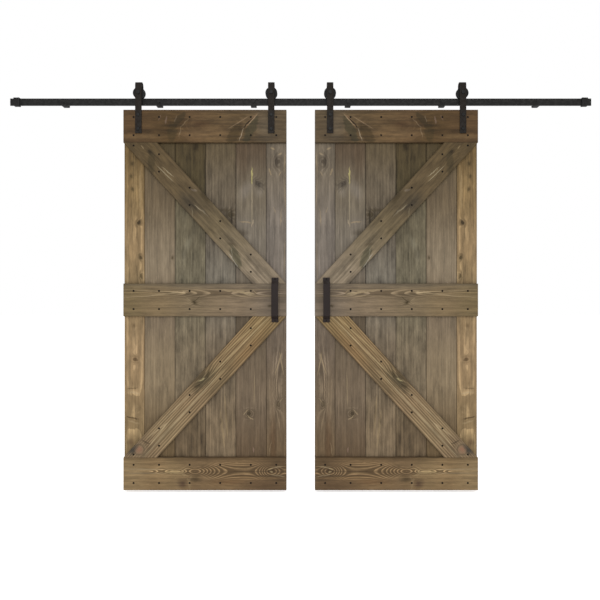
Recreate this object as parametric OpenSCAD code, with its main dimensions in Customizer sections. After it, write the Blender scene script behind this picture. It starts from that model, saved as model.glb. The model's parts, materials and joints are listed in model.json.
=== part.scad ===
// Pair of sliding barn doors on one flat track: plank doors with rails and diagonal
// braces, strap hangers with grooved wheels, end stops and flat pulls.
// X runs along the track, Z is up and +Y points to the wall. The origin is on the wall
// face, in the middle of the track's row of lag bolts. One unit is a millimetre.
// Every module of a door is written for the right one. on_side() mirrors it for the left.

/* [Doors] */
// Width of one door
door_w = 914; // [760:1:1100]
// Height of one door
door_h = 2134; // [1900:1:2700]
// Gap between the two doors at rest
doors_apart = 160; // [60:1:300]
// Height of the gap between the track and the top of a door
door_drop = 27; // [15:0.5:40]

/* [Planks] */
// Thickness of the planks
plank_t = 19; // [15:0.5:25]
// Width of the first and the last plank of a door
edge_plank_w = 114; // [95:1:140]
// Gap between the faces of neighbouring planks
plank_gap = 1; // [0.5:0.1:3]
// Thickness of the tongues
tongue_t = 6; // [4:0.5:8]
// Length of the tongues
tongue_l = 6; // [4:0.5:9]
// Clearance between a tongue and its groove
tongue_clear = 0.3; // [0.1:0.1:0.6]
// Bevel along the long edges of planks, rails and braces
edge_bevel = 1.5; // [0.5:0.1:3]

/* [Rails and braces] */
// Thickness of the rails and braces
board_t = 16; // [12:0.5:20]
// Width of the top, middle and bottom rails
rail_w = 184; // [140:1:240]
// Width of the diagonal braces
brace_w = 140; // [100:1:160]

/* [Board screws] */
// Length of a board screw
screw_len = 30; // [24:0.5:31]
// Radius of its shank
screw_r = 2; // [1.5:0.1:2.5]
// Radius of its countersunk head
screw_head_r = 6; // [3.5:0.1:7]
// Height of the countersunk head
screw_head_h = 4; // [2:0.1:5]
// Length of its point
screw_tip = 4; // [2:0.5:8]
// Distance from a rail's edge to its screws
screw_inset = 41; // [20:1:60]
// Distance between the two screws of a pair on a brace
brace_screw_pitch = 97; // [40:1:110]
// Distance from a rail to the single screw at a brace's end
brace_end_inset = 17; // [12:1:25]

/* [Track] */
// Length of the track
track_len = 3270; // [2900:1:4200]
// Height of the track's flat bar
track_h = 40; // [34:0.5:50]
// Thickness of the track's flat bar
track_t = 6; // [5:0.5:8]
// Distance from the wall to the track's back face
spacer_depth = 32; // [31:0.5:45]
// Distance between lag bolts
lag_pitch = 533; // [400:1:600]
// Number of lag bolts
lag_count = 6; // [2:2:6]

/* [Lag bolts] */
// Radius of a lag bolt's plain shank
lag_r = 4.75; // [4.5:0.05:6]
// Mean radius of its threaded part, which goes into the wall
lag_thread_r = 4.2; // [3.5:0.05:4.3]
// Length from under the head to the point
lag_len = 75; // [65:1:130]
// Length of its point
lag_tip = 10; // [5:1:15]
// Width across the flats of its head
lag_flats = 14.3; // [12:0.1:17]
// Height of its head
lag_head_h = 6; // [4:0.1:7]
// Outer radius of the washer
lag_washer_r = 11; // [9:0.1:13]
// Thickness of the washer
lag_washer_t = 1.6; // [1:0.1:2.5]

/* [End stops] */
// Length of a stop along the track
stop_l = 24; // [16:1:40]
// Height of a stop
stop_h = 46; // [44:1:64]
// Depth of a stop, front to back
stop_d = 20; // [16:0.5:24]
// Distance from the end of the track to a stop
stop_end_gap = 22; // [5:1:60]
// Clearance around the track in a stop's slot
slot_clear = 0.2; // [0.1:0.05:0.4]
// Length of the rubber bumper along the track
bumper_l = 8; // [4:0.5:16]
// Height of the rubber bumper
bumper_h = 48; // [44:1:70]
// Radius of a set screw
set_screw_r = 3; // [2:0.1:4]
// Height of a set screw above or below the track's middle
set_screw_z = 12; // [6:0.5:15]
// Depth of a set screw's end below the stop's face
set_screw_sink = 0.5; // [0:0.1:1]

/* [Wheels] */
// Radius of the groove's floor, which rolls on the track
tread_r = 29.2; // [24:0.1:36]
// Height of the flanges above the groove's floor
flange_h = 4.3; // [3:0.1:6]
// Width of a wheel
wheel_w = 20; // [16:0.1:26]
// Side clearance between the track and the groove's floor
groove_side = 1; // [0.5:0.1:2]
// Widening of each side of the groove towards the rim
groove_flare = 1.5; // [0.5:0.1:2.5]
// Running gap between the track and the groove's floor
run_gap = 0.3; // [0.2:0.05:0.5]
// Outer radius of the bearing
bearing_r = 14; // [12:0.1:18]
// Width of the bearing
bearing_w = 14; // [8:0.5:16]
// Depth of the recess between a bearing's races
shield_sink = 0.8; // [0.3:0.1:1.5]
// Clearance between the bearing and the wheel
seat_clear = 0.05; // [0.02:0.01:0.1]

/* [Hangers] */
// Distance from a door's edge to the middle of a hanger
hanger_inset = 85; // [70:1:120]
// Width of a hanger strap
strap_w = 36; // [30:1:50]
// Thickness of a hanger strap
strap_t = 5; // [4:0.5:6]
// Gap between a wheel's side and a strap's legs
wheel_side_gap = 3; // [2:0.1:5]
// Height of the strap's bend centre above the wheel's rim
bend_rise = 10; // [4:0.5:30]
// Length of strap that overlaps the door
strap_overlap = 133; // [120:1:180]
// Length of the back leg below the axle
back_leg_drop = 21.5; // [18:0.5:22]
// Distance from the top of the door to the first strap bolt
bolt_drop = 30; // [20:1:40]
// Distance between a strap's two bolts
bolt_pitch = 79; // [60:1:90]
// Radius of a strap bolt
bolt_r = 5; // [4:0.5:6]
// Width across the flats of a strap bolt's head and nut
bolt_flats = 16; // [14:0.5:18]
// Height of a strap bolt's head
bolt_head_h = 6.4; // [4:0.1:8]
// Thickness of a strap bolt's nut
bolt_nut_h = 6; // [4:0.1:6.5]
// Thickness of the washer under it
bolt_washer_t = 1.6; // [1:0.1:2]
// Radius of that washer
bolt_washer_r = 12; // [10:0.5:16]
// Radius of an axle bolt
axle_r = 6; // [5:0.5:7]
// Width across the flats of an axle bolt's head and nut
axle_flats = 19; // [16:0.5:22]
// Height of an axle bolt's head
axle_head_h = 7.5; // [5:0.1:9]
// Thickness of an axle bolt's nut
axle_nut_h = 8; // [6:0.1:10]
// Radius of the bushes on the axle
bush_r = 9; // [8:0.1:11]
// End gap between a bush and the bearing
bush_gap = 0.1; // [0.05:0.05:0.3]
// Length of thread past a nut
thread_end = 1; // [0:0.1:2]
// Radial clearance of bolts and screws in their holes
bolt_clear = 0.1; // [0.05:0.01:0.2]

/* [Pulls] */
// Length of a pull
pull_len = 250; // [200:1:320]
// Width of a pull
pull_w = 38; // [25:1:45]
// Thickness of its flat bar
pull_t = 5; // [3:0.5:6]
// Distance from the door's face to the pull's front
pull_proj = 38; // [32:1:60]
// Length of each foot
pull_foot = 15; // [13:0.5:18]
// Angle between the door's face and the sloped ends
pull_angle = 60; // [45:1:80]
// Inner radius of the pull's bends
pull_bend_r = 4; // [2:0.5:6]
// Distance from the door's inner edge to the middle of the pull
pull_inset = 64; // [45:1:90]
// Radius of a pull screw
pull_screw_r = 2.5; // [2:0.1:3]
// Radius of its head
pull_screw_head_r = 4; // [3.5:0.1:5]
// Height of its head
pull_screw_head_h = 2.4; // [1.5:0.1:4]
// Length of its shank
pull_screw_len = 32; // [25:0.5:34]
// Bevel around its head
pan_edge = 1; // [0.5:0.1:1.5]

/* [Hidden] */
$fn = 64;
SIDES = ["left", "right"];
ENDS = ["inner", "outer"];
plank_count = 6;
cut = 1;  // how far a cutting shape reaches past the face it opens
bend_steps = 8;  // facets of each of the pull's bends

// depths, from the wall forwards
track_y = -spacer_depth - track_t / 2;
track_front_y = track_y - track_t / 2;
leg_gap_r = wheel_w / 2 + wheel_side_gap;
door_front_y = track_y - leg_gap_r;
plank_front_y = door_front_y + board_t;
door_back_y = plank_front_y + plank_t;
strap_front_y = door_front_y - strap_t;
strap_back_y = track_y + leg_gap_r + strap_t;
pull_front_y = door_front_y - pull_proj;

// heights
wheel_r = tread_r + flange_h;
axle_z = track_h / 2 + run_gap + tread_r;
bend_z = axle_z + wheel_r + bend_rise;
door_top_z = -track_h / 2 - door_drop;
door_mid_z = door_top_z - door_h / 2;
door_bottom_z = door_top_z - door_h;
spacer_clear = 1;  // between a wheel's flange and the spacers below it
spacer_h = track_h - 2 * (flange_h - run_gap + spacer_clear);
spacer_w = 32;
spacer_drop = 4;  // by which a spacer reaches further down than up
lag_shank_len = lag_washer_t + track_t + spacer_depth;  // plain as far as the wall

// places across a door, from the track's middle outwards
door_x = doors_apart / 2;
inner_plank_w = (door_w - 2 * edge_plank_w) / (plank_count - 2);
function plank_edge(i) = i == 0 ? 0 : i == plank_count ? door_w : edge_plank_w + (i - 1) * inner_plank_w;
function plank_mid(i) = door_x + (plank_edge(i - 1) + plank_edge(i)) / 2;
function hanger_x(end) = door_x + (end == "inner" ? hanger_inset : door_w - hanger_inset);
lag_xs = [for (i = [0 : lag_count - 1]) (i - (lag_count - 1) / 2) * lag_pitch];
stop_x = track_len / 2 - stop_end_gap - stop_l;
pull_x = door_x + pull_inset;

// rails and braces: a brace's edges run through two opposite corners of its panel
rail_zs = [door_top_z - rail_w / 2, door_mid_z, door_bottom_z + rail_w / 2];
panel_h = (door_h - 3 * rail_w) / 2;
brace_angle = atan2(panel_h, door_w) + asin(brace_w / norm([door_w, panel_h]));
function brace_z(up) = door_mid_z + up * (rail_w + panel_h) / 2;

// places of the board screws, as [x, z]
function rail_screws(z) = [for (i = [1 : plank_count], s = [-1, 1])
    [plank_mid(i), z + s * (rail_w / 2 - screw_inset)]];
function brace_middle_screws(up) = [for (i = [2 : plank_count - 1], s = [-1, 1])
    [plank_mid(i), brace_z(up) + s * brace_screw_pitch / 2
        + up * (plank_mid(i) - door_x - door_w / 2) * tan(brace_angle)]];
function brace_end_screws(up) = [for (end = [[1, -1], [plank_count, 1]])
    [plank_mid(end[0]), brace_z(up) + up * end[1] * (panel_h / 2 - brace_end_inset)]];
function brace_screws(up) = concat(brace_middle_screws(up), brace_end_screws(up));
board_screws = concat([for (z = rail_zs) each rail_screws(z)], [for (up = [-1, 1]) each brace_screws(up)]);
strap_bolt_zs = [door_top_z - bolt_drop, door_top_z - bolt_drop - bolt_pitch];
pull_screw_zs = [for (s = [-1, 1]) door_mid_z + s * (pull_len - pull_foot) / 2];

TRACK_NODES = ["track", "spacers", "lag_bolts", "lag_washers", "left_stop", "right_stop",
    "left_bumper", "right_bumper", "stop_set_screws"];
DOOR_NODES = concat([for (i = [1 : plank_count]) str("plank_", i)],
    ["top_rail", "middle_rail", "bottom_rail", "upper_brace", "lower_brace", "board_screws", "pull",
    "pull_screws", "strap_bolts", "strap_nuts", "axle_bolts", "axle_nuts", "axle_bushes"],
    [for (end = ENDS, part = ["strap", "wheel", "bearing"]) str(end, "_", part)]);

// ---- helpers

// The right side as it is, the left side mirrored
module on_side(side) {
    if (side == "left") mirror([1, 0, 0]) children();
    else children();
}

// Stands a shape that points up along Z at [x, z], pointing to the wall from depth y
module towards_wall(x, y, z) {
    translate([x, y, z]) rotate([-90, 0, 0]) children();
}

// A plain ring or a drilled disc
module ring(outer_r, inner_r, h) {
    difference() {
        cylinder(r = outer_r, h = h);
        translate([0, 0, -cut]) cylinder(r = inner_r, h = h + 2 * cut);
    }
}

// A hexagonal prism from its width across the flats
module hex_prism(flats, h) {
    cylinder(r = flats / 2 / cos(30), h = h, $fn = 6);
}

// A hexagon bolt with the underside of its head at Z = 0
module hex_bolt(r, len, flats, head_h) {
    translate([0, 0, -head_h]) hex_prism(flats, head_h);
    translate([0, 0, -head_h / 2]) cylinder(r = r, h = len + head_h / 2);
}

// A hexagon nut
module hex_nut(r, flats, h) {
    difference() {
        hex_prism(flats, h);
        translate([0, 0, -cut]) cylinder(r = r + bolt_clear, h = h + 2 * cut);
    }
}

// ---- track

module track() {
    color([0.13, 0.13, 0.14]) difference() {
        translate([-track_len / 2, track_y - track_t / 2, -track_h / 2])
            cube([track_len, track_t, track_h]);
        for (x = lag_xs)
            towards_wall(x, track_front_y - cut, 0) cylinder(r = lag_r + bolt_clear, h = track_t + 2 * cut);
    }
}

module spacers() {
    color([0.13, 0.13, 0.14]) for (x = lag_xs) difference() {
        translate([x - spacer_w / 2, -spacer_depth, -spacer_h / 2 - spacer_drop])
            cube([spacer_w, spacer_depth, spacer_h + spacer_drop]);
        towards_wall(x, -spacer_depth - cut, 0) cylinder(r = lag_r + bolt_clear, h = spacer_depth + 2 * cut);
    }
}

module lag_bolt() {
    hex_bolt(lag_r, lag_shank_len, lag_flats, lag_head_h);
    translate([0, 0, lag_shank_len]) cylinder(r = lag_thread_r, h = lag_len - lag_tip - lag_shank_len);
    translate([0, 0, lag_len - lag_tip]) cylinder(r1 = lag_thread_r, r2 = lag_thread_r / 8, h = lag_tip);
}

module lag_bolts() {
    color([0.16, 0.16, 0.17]) for (x = lag_xs)
        towards_wall(x, track_front_y - lag_washer_t, 0) lag_bolt();
}

module lag_washers() {
    color([0.16, 0.16, 0.17]) for (x = lag_xs)
        towards_wall(x, track_front_y - lag_washer_t, 0) ring(lag_washer_r, lag_r + bolt_clear, lag_washer_t);
}

// A block of length l and height h from X = 0, with a slot for the track
module slotted_block(l, h) {
    slot_t = track_t + 2 * slot_clear;
    slot_h = track_h + 2 * slot_clear;
    difference() {
        translate([0, track_y - stop_d / 2, -h / 2]) cube([l, stop_d, h]);
        translate([-cut, track_y - slot_t / 2, -slot_h / 2]) cube([l + 2 * cut, slot_t, slot_h]);
    }
}

module stop() {
    color([0.14, 0.14, 0.15]) difference() {
        translate([stop_x, 0, 0]) slotted_block(stop_l, stop_h);
        for (s = [-1, 1])
            towards_wall(stop_x + stop_l / 2, track_y - stop_d / 2 - cut, s * set_screw_z)
                cylinder(r = set_screw_r + bolt_clear, h = (stop_d - track_t) / 2 + cut);
    }
}

module bumper() {
    color([0.07, 0.07, 0.07]) translate([stop_x - bumper_l, 0, 0]) slotted_block(bumper_l, bumper_h);
}

// A socket set screw, from its sunk end to the track's face
module set_screw() {
    len = (stop_d - track_t) / 2 - set_screw_sink;
    difference() {
        cylinder(r = set_screw_r, h = len);
        translate([0, 0, -cut]) hex_prism(set_screw_r, len / 2 + cut);
    }
}

module stop_set_screws() {
    color([0.2, 0.2, 0.21]) for (side = SIDES, s = [-1, 1])
        on_side(side)
            towards_wall(stop_x + stop_l / 2, track_y - stop_d / 2 + set_screw_sink, s * set_screw_z)
                set_screw();
}

// ---- boards

// Outline of plank i across X and Y: bevelled edges, a groove on its inner and a
// tongue on its outer side
module plank_outline(i) {
    x0 = door_x + plank_edge(i - 1) + (i > 1 ? plank_gap / 2 : 0);
    x1 = door_x + plank_edge(i) - (i < plank_count ? plank_gap / 2 : 0);
    y0 = plank_front_y;
    y1 = door_back_y;
    mid_y = (y0 + y1) / 2;
    groove_x = x0 + tongue_l - plank_gap + tongue_clear;
    groove_t = tongue_t + 2 * tongue_clear;
    tongue = i == plank_count ? [] : [[x1, mid_y - tongue_t / 2], [x1 + tongue_l, mid_y - tongue_t / 2],
        [x1 + tongue_l, mid_y + tongue_t / 2], [x1, mid_y + tongue_t / 2]];
    groove = i == 1 ? [] : [[x0, mid_y + groove_t / 2], [groove_x, mid_y + groove_t / 2],
        [groove_x, mid_y - groove_t / 2], [x0, mid_y - groove_t / 2]];
    polygon(concat(
        [[x0 + edge_bevel, y0], [x1 - edge_bevel, y0], [x1, y0 + edge_bevel]], tongue,
        [[x1, y1 - edge_bevel], [x1 - edge_bevel, y1], [x0 + edge_bevel, y1], [x0, y1 - edge_bevel]], groove,
        [[x0, y0 + edge_bevel]]));
}

// Section of a rail or brace across Y and Z, its middle at Z = 0, its front edges bevelled
module board_outline(w) {
    polygon([[plank_front_y, -w / 2], [plank_front_y, w / 2], [door_front_y + edge_bevel, w / 2],
        [door_front_y, w / 2 - edge_bevel], [door_front_y, edge_bevel - w / 2],
        [door_front_y + edge_bevel, -w / 2]]);
}

// A board of this length along X, from X = 0
module board(w, len) {
    rotate([90, 0, 90]) linear_extrude(len) board_outline(w);
}

// A countersunk board screw, head up at Z = 0 and pointing along +Z
module board_screw() {
    rotate_extrude() polygon([[0, 0], [screw_head_r, 0], [screw_r, screw_head_h],
        [screw_r, screw_len - screw_tip], [0, screw_len]]);
}

// The hole it sits in
module board_screw_hole() {
    r = screw_r + bolt_clear;
    head_r = screw_head_r + bolt_clear;
    rotate_extrude() polygon([[0, -cut], [head_r, -cut], [head_r, 0], [r, screw_head_h],
        [r, screw_len + bolt_clear], [0, screw_len + bolt_clear]]);
}

module board_screw_holes(places) {
    for (p = places) towards_wall(p[0], door_front_y, p[1]) board_screw_hole();
}

// The strap bolts' holes through a door at one hanger
module strap_bolt_holes(x) {
    for (z = strap_bolt_zs)
        towards_wall(x, strap_front_y - cut, z)
            cylinder(r = bolt_r + bolt_clear, h = door_back_y - strap_front_y + 2 * cut);
}

// The pull screws' holes, from in front of the pull's feet to past the screws' ends
module pull_screw_holes() {
    for (z = pull_screw_zs)
        towards_wall(pull_x, door_front_y - pull_t - cut, z)
            cylinder(r = pull_screw_r + bolt_clear, h = pull_screw_len + bolt_clear + cut);
}

// Plank i, counted from the doors' meeting edge outwards
module plank(i) {
    color([0.46, 0.38, 0.3]) difference() {
        translate([0, 0, door_bottom_z]) linear_extrude(door_h) plank_outline(i);
        board_screw_holes([for (p = board_screws) if (p[0] == plank_mid(i)) p]);
        if (i == 1) {
            strap_bolt_holes(hanger_x("inner"));
            pull_screw_holes();
        }
        if (i == plank_count) strap_bolt_holes(hanger_x("outer"));
    }
}

module rail(z) {
    color([0.42, 0.33, 0.25]) difference() {
        translate([door_x, 0, z]) board(rail_w, door_w);
        board_screw_holes(rail_screws(z));
        children();
    }
}

module top_rail() {
    rail(rail_zs[0]) for (end = ENDS) strap_bolt_holes(hanger_x(end));
}

module middle_rail() {
    rail(rail_zs[1]);
}

module bottom_rail() {
    rail(rail_zs[2]);
}

// The upper (up = 1) or lower (up = -1) brace: a long board, cut level at both rails
module brace(up) {
    long = door_w + panel_h;
    color([0.44, 0.36, 0.27]) difference() {
        intersection() {
            translate([door_x + door_w / 2, 0, brace_z(up)]) rotate([0, -up * brace_angle, 0])
                translate([-long / 2, 0, 0]) board(brace_w, long);
            translate([door_x - long / 2, door_front_y - cut, brace_z(up) - panel_h / 2])
                cube([2 * long, board_t + 2 * cut, panel_h]);
        }
        board_screw_holes(brace_screws(up));
        pull_screw_holes();
    }
}

module board_screw_set() {
    color([0.2, 0.17, 0.15]) for (p = board_screws) towards_wall(p[0], door_front_y, p[1]) board_screw();
}

// ---- hangers

// A strap bent over its wheel: a long front leg on the door, a short back leg
module strap(end) {
    x = hanger_x(end);
    front_end_z = door_top_z - strap_overlap;
    back_end_z = axle_z - back_leg_drop;
    color([0.14, 0.14, 0.15]) difference() {
        union() {
            translate([x - strap_w / 2, strap_front_y, front_end_z])
                cube([strap_w, strap_t, bend_z - front_end_z]);
            translate([x - strap_w / 2, strap_back_y - strap_t, back_end_z])
                cube([strap_w, strap_t, bend_z - back_end_z]);
            intersection() {
                translate([x - strap_w / 2, track_y, bend_z]) rotate([0, 90, 0])
                    ring(leg_gap_r + strap_t, leg_gap_r, strap_w);
                translate([x, track_y, bend_z + strap_w]) cube(2 * strap_w, center = true);
            }
        }
        towards_wall(x, strap_front_y - cut, axle_z)
            cylinder(r = axle_r + bolt_clear, h = strap_back_y - strap_front_y + 2 * cut);
        strap_bolt_holes(x);
    }
}

module strap_bolts() {
    shank = door_back_y - strap_front_y + bolt_washer_t + bolt_nut_h + thread_end;
    color([0.18, 0.18, 0.19]) for (end = ENDS, z = strap_bolt_zs)
        towards_wall(hanger_x(end), strap_front_y, z) hex_bolt(bolt_r, shank, bolt_flats, bolt_head_h);
}

// Nuts and washers on the door's back
module strap_nuts() {
    color([0.18, 0.18, 0.19]) for (end = ENDS, z = strap_bolt_zs) {
        towards_wall(hanger_x(end), door_back_y, z) ring(bolt_washer_r, bolt_r + bolt_clear, bolt_washer_t);
        towards_wall(hanger_x(end), door_back_y + bolt_washer_t, z) hex_nut(bolt_r, bolt_flats, bolt_nut_h);
    }
}

module axle_bolts() {
    shank = strap_back_y - strap_front_y + axle_nut_h + thread_end;
    color([0.18, 0.18, 0.19]) for (end = ENDS)
        towards_wall(hanger_x(end), strap_front_y, axle_z) hex_bolt(axle_r, shank, axle_flats, axle_head_h);
}

module axle_nuts() {
    color([0.18, 0.18, 0.19]) for (end = ENDS)
        towards_wall(hanger_x(end), strap_back_y, axle_z) hex_nut(axle_r, axle_flats, axle_nut_h);
}

// Bushes that hold the bearing in the middle between a strap's legs
module axle_bushes() {
    len = leg_gap_r - bearing_w / 2 - bush_gap;
    color([0.5, 0.48, 0.42]) for (end = ENDS, y = [track_y - leg_gap_r, track_y + leg_gap_r - len])
        towards_wall(hanger_x(end), y, axle_z) ring(bush_r, axle_r + bolt_clear, len);
}

// ---- wheels

// A grooved wheel with its groove over the track
module wheel(end) {
    floor_w = track_t + 2 * groove_side;
    rim_w = floor_w + 2 * groove_flare;
    bore_r = bearing_r + seat_clear;
    color([0.12, 0.12, 0.13]) towards_wall(hanger_x(end), track_y, axle_z)
        rotate_extrude() polygon([[bore_r, -wheel_w / 2], [wheel_r, -wheel_w / 2], [wheel_r, -rim_w / 2],
            [tread_r, -floor_w / 2], [tread_r, floor_w / 2], [wheel_r, rim_w / 2], [wheel_r, wheel_w / 2],
            [bore_r, wheel_w / 2]]);
}

// A bearing as one ring: two races with a sunk shield between them
module bearing(end) {
    inner_r = axle_r + bolt_clear;
    race = (bearing_r - inner_r) / 4;
    half = bearing_w / 2;
    sunk = half - shield_sink;
    color([0.6, 0.6, 0.62]) towards_wall(hanger_x(end), track_y, axle_z)
        rotate_extrude() polygon([[inner_r, -half], [inner_r + race, -half], [inner_r + race, -sunk],
            [bearing_r - race, -sunk], [bearing_r - race, -half], [bearing_r, -half], [bearing_r, half],
            [bearing_r - race, half], [bearing_r - race, sunk], [inner_r + race, sunk],
            [inner_r + race, half], [inner_r, half]]);
}

// ---- pulls

// Points along an arc about c, from angle a to angle b
function arc(c, r, a, b) = [for (k = [0 : bend_steps]) let (w = a + (b - a) * k / bend_steps)
    c + r * [cos(w), sin(w)]];

// One face of the pull's upper half, seen from the side as [distance from the door,
// height above the pull's middle], from the foot's end down to the grip. foot_r is the
// radius of the bend at the foot and grip_r that of the bend at the grip.
function pull_face(foot_r, grip_r) =
    let (
        foot_end = pull_len / 2 - pull_foot,
        mid_r = pull_bend_r + pull_t / 2,
        slope_l = (pull_proj - pull_t - 2 * mid_r * (1 - cos(pull_angle))) / sin(pull_angle),
        grip_end = foot_end - 2 * mid_r * sin(pull_angle) - slope_l * cos(pull_angle),
        foot_centre = [pull_t + pull_bend_r, foot_end],
        grip_centre = [pull_proj - pull_t - pull_bend_r, grip_end])
    concat(
        [[foot_centre[0] - foot_r, pull_len / 2]],
        arc(foot_centre, foot_r, 180, 180 + pull_angle),
        arc(grip_centre, grip_r, pull_angle, 0));

function reversed(points) = [for (k = [len(points) - 1 : -1 : 0]) points[k]];
function turned_down(points) = [for (p = points) [p[0], -p[1]]];

// The pull from the side: its front face from top to bottom, then its back face
module pull_outline() {
    front = pull_face(pull_bend_r, pull_bend_r + pull_t);
    back = pull_face(pull_bend_r + pull_t, pull_bend_r);
    polygon(concat(front, reversed(turned_down(front)), turned_down(back), reversed(back)));
}

module pull() {
    color([0.16, 0.13, 0.12]) difference() {
        translate([pull_x + pull_w / 2, door_front_y, door_mid_z])
            rotate([90, 0, -90]) linear_extrude(pull_w) pull_outline();
        pull_screw_holes();
    }
}

// A pan-head screw, the underside of its head at Z = 0 and pointing along +Z
module pull_screw() {
    rotate_extrude() polygon([[0, -pull_screw_head_h], [pull_screw_head_r - pan_edge, -pull_screw_head_h],
        [pull_screw_head_r, pan_edge - pull_screw_head_h], [pull_screw_head_r, 0], [pull_screw_r, 0],
        [pull_screw_r, pull_screw_len - screw_tip], [0, pull_screw_len]]);
}

module pull_screws() {
    color([0.2, 0.17, 0.15]) for (z = pull_screw_zs)
        towards_wall(pull_x, door_front_y - pull_t, z) pull_screw();
}

// ---- what is drawn

track();
spacers();
lag_bolts();
lag_washers();
stop_set_screws();
for (side = SIDES) {
    on_side(side) stop();
    on_side(side) bumper();
    for (i = [1 : plank_count])
        on_side(side) plank(i);
    on_side(side) top_rail();
    on_side(side) middle_rail();
    on_side(side) bottom_rail();
    on_side(side) brace(1);
    on_side(side) brace(-1);
    on_side(side) board_screw_set();
    on_side(side) pull();
    on_side(side) pull_screws();
    on_side(side) strap_bolts();
    on_side(side) strap_nuts();
    on_side(side) axle_bolts();
    on_side(side) axle_nuts();
    on_side(side) axle_bushes();
    for (end = ENDS) {
        on_side(side) strap(end);
        on_side(side) wheel(end);
        on_side(side) bearing(end);
    }
}
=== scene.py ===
"""Looks of a pair of rustic barn doors that hang from a flat wall track.

Each door is six tongue-and-groove planks behind three rails and two braces, all of
stained knotty pine. Bent straps carry it on grooved wheels along a black flat bar.
Sizes are in metres: X along the track, Y into the wall, Z up.
"""

from __future__ import annotations

import json
import logging
import math
from collections.abc import Callable, Iterable, Sequence
from dataclasses import dataclass, field
from enum import Enum

import bmesh
import bpy
from mathutils import Matrix, Vector

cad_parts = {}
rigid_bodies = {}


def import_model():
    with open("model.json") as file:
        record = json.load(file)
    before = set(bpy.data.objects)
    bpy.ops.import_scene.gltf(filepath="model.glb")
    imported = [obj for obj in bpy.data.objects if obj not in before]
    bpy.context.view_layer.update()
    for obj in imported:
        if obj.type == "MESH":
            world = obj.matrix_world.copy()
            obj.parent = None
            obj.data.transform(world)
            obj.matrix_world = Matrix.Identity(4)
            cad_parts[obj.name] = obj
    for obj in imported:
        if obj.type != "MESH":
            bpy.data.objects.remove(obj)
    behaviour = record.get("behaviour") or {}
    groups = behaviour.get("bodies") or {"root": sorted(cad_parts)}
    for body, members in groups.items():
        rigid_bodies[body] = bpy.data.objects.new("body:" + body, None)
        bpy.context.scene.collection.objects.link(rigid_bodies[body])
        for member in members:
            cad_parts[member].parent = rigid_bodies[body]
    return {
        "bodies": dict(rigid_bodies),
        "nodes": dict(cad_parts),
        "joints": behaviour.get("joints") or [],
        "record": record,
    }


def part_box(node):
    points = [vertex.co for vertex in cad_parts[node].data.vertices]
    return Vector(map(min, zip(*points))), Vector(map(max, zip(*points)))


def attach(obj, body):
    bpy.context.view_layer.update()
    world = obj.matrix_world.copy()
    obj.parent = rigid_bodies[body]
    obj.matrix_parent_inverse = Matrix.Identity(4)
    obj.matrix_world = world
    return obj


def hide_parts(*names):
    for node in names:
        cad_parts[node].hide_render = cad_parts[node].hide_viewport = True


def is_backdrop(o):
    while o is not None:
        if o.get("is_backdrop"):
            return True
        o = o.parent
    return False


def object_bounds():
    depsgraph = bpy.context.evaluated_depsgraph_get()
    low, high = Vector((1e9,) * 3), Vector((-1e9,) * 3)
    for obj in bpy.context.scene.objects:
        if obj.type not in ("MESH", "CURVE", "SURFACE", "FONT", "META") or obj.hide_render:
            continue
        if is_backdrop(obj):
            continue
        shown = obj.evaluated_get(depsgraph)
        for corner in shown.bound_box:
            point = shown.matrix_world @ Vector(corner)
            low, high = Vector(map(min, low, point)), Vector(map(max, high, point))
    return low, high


LOG = logging.getLogger("barn_doors")
MM = 0.001
SIDES = ("left", "right")
ENDS = ("inner", "outer")
MIX_INPUTS, MIX_OUTPUT = (0, 6, 7), 2  # a Mix node's factor, its two colours and the mixed colour

Colour = tuple[float, float, float]
Socket = bpy.types.NodeSocket
Value = Socket | float
Triple = Socket | tuple[float, float, float]


def stain(red: float, green: float, blue: float, alpha: float = 1.0) -> tuple[float, ...]:
    """A linear colour with its alpha, as node sockets take it."""
    return (red, green, blue, alpha)


# ---------------------------------------------------------------- node wiring


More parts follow.
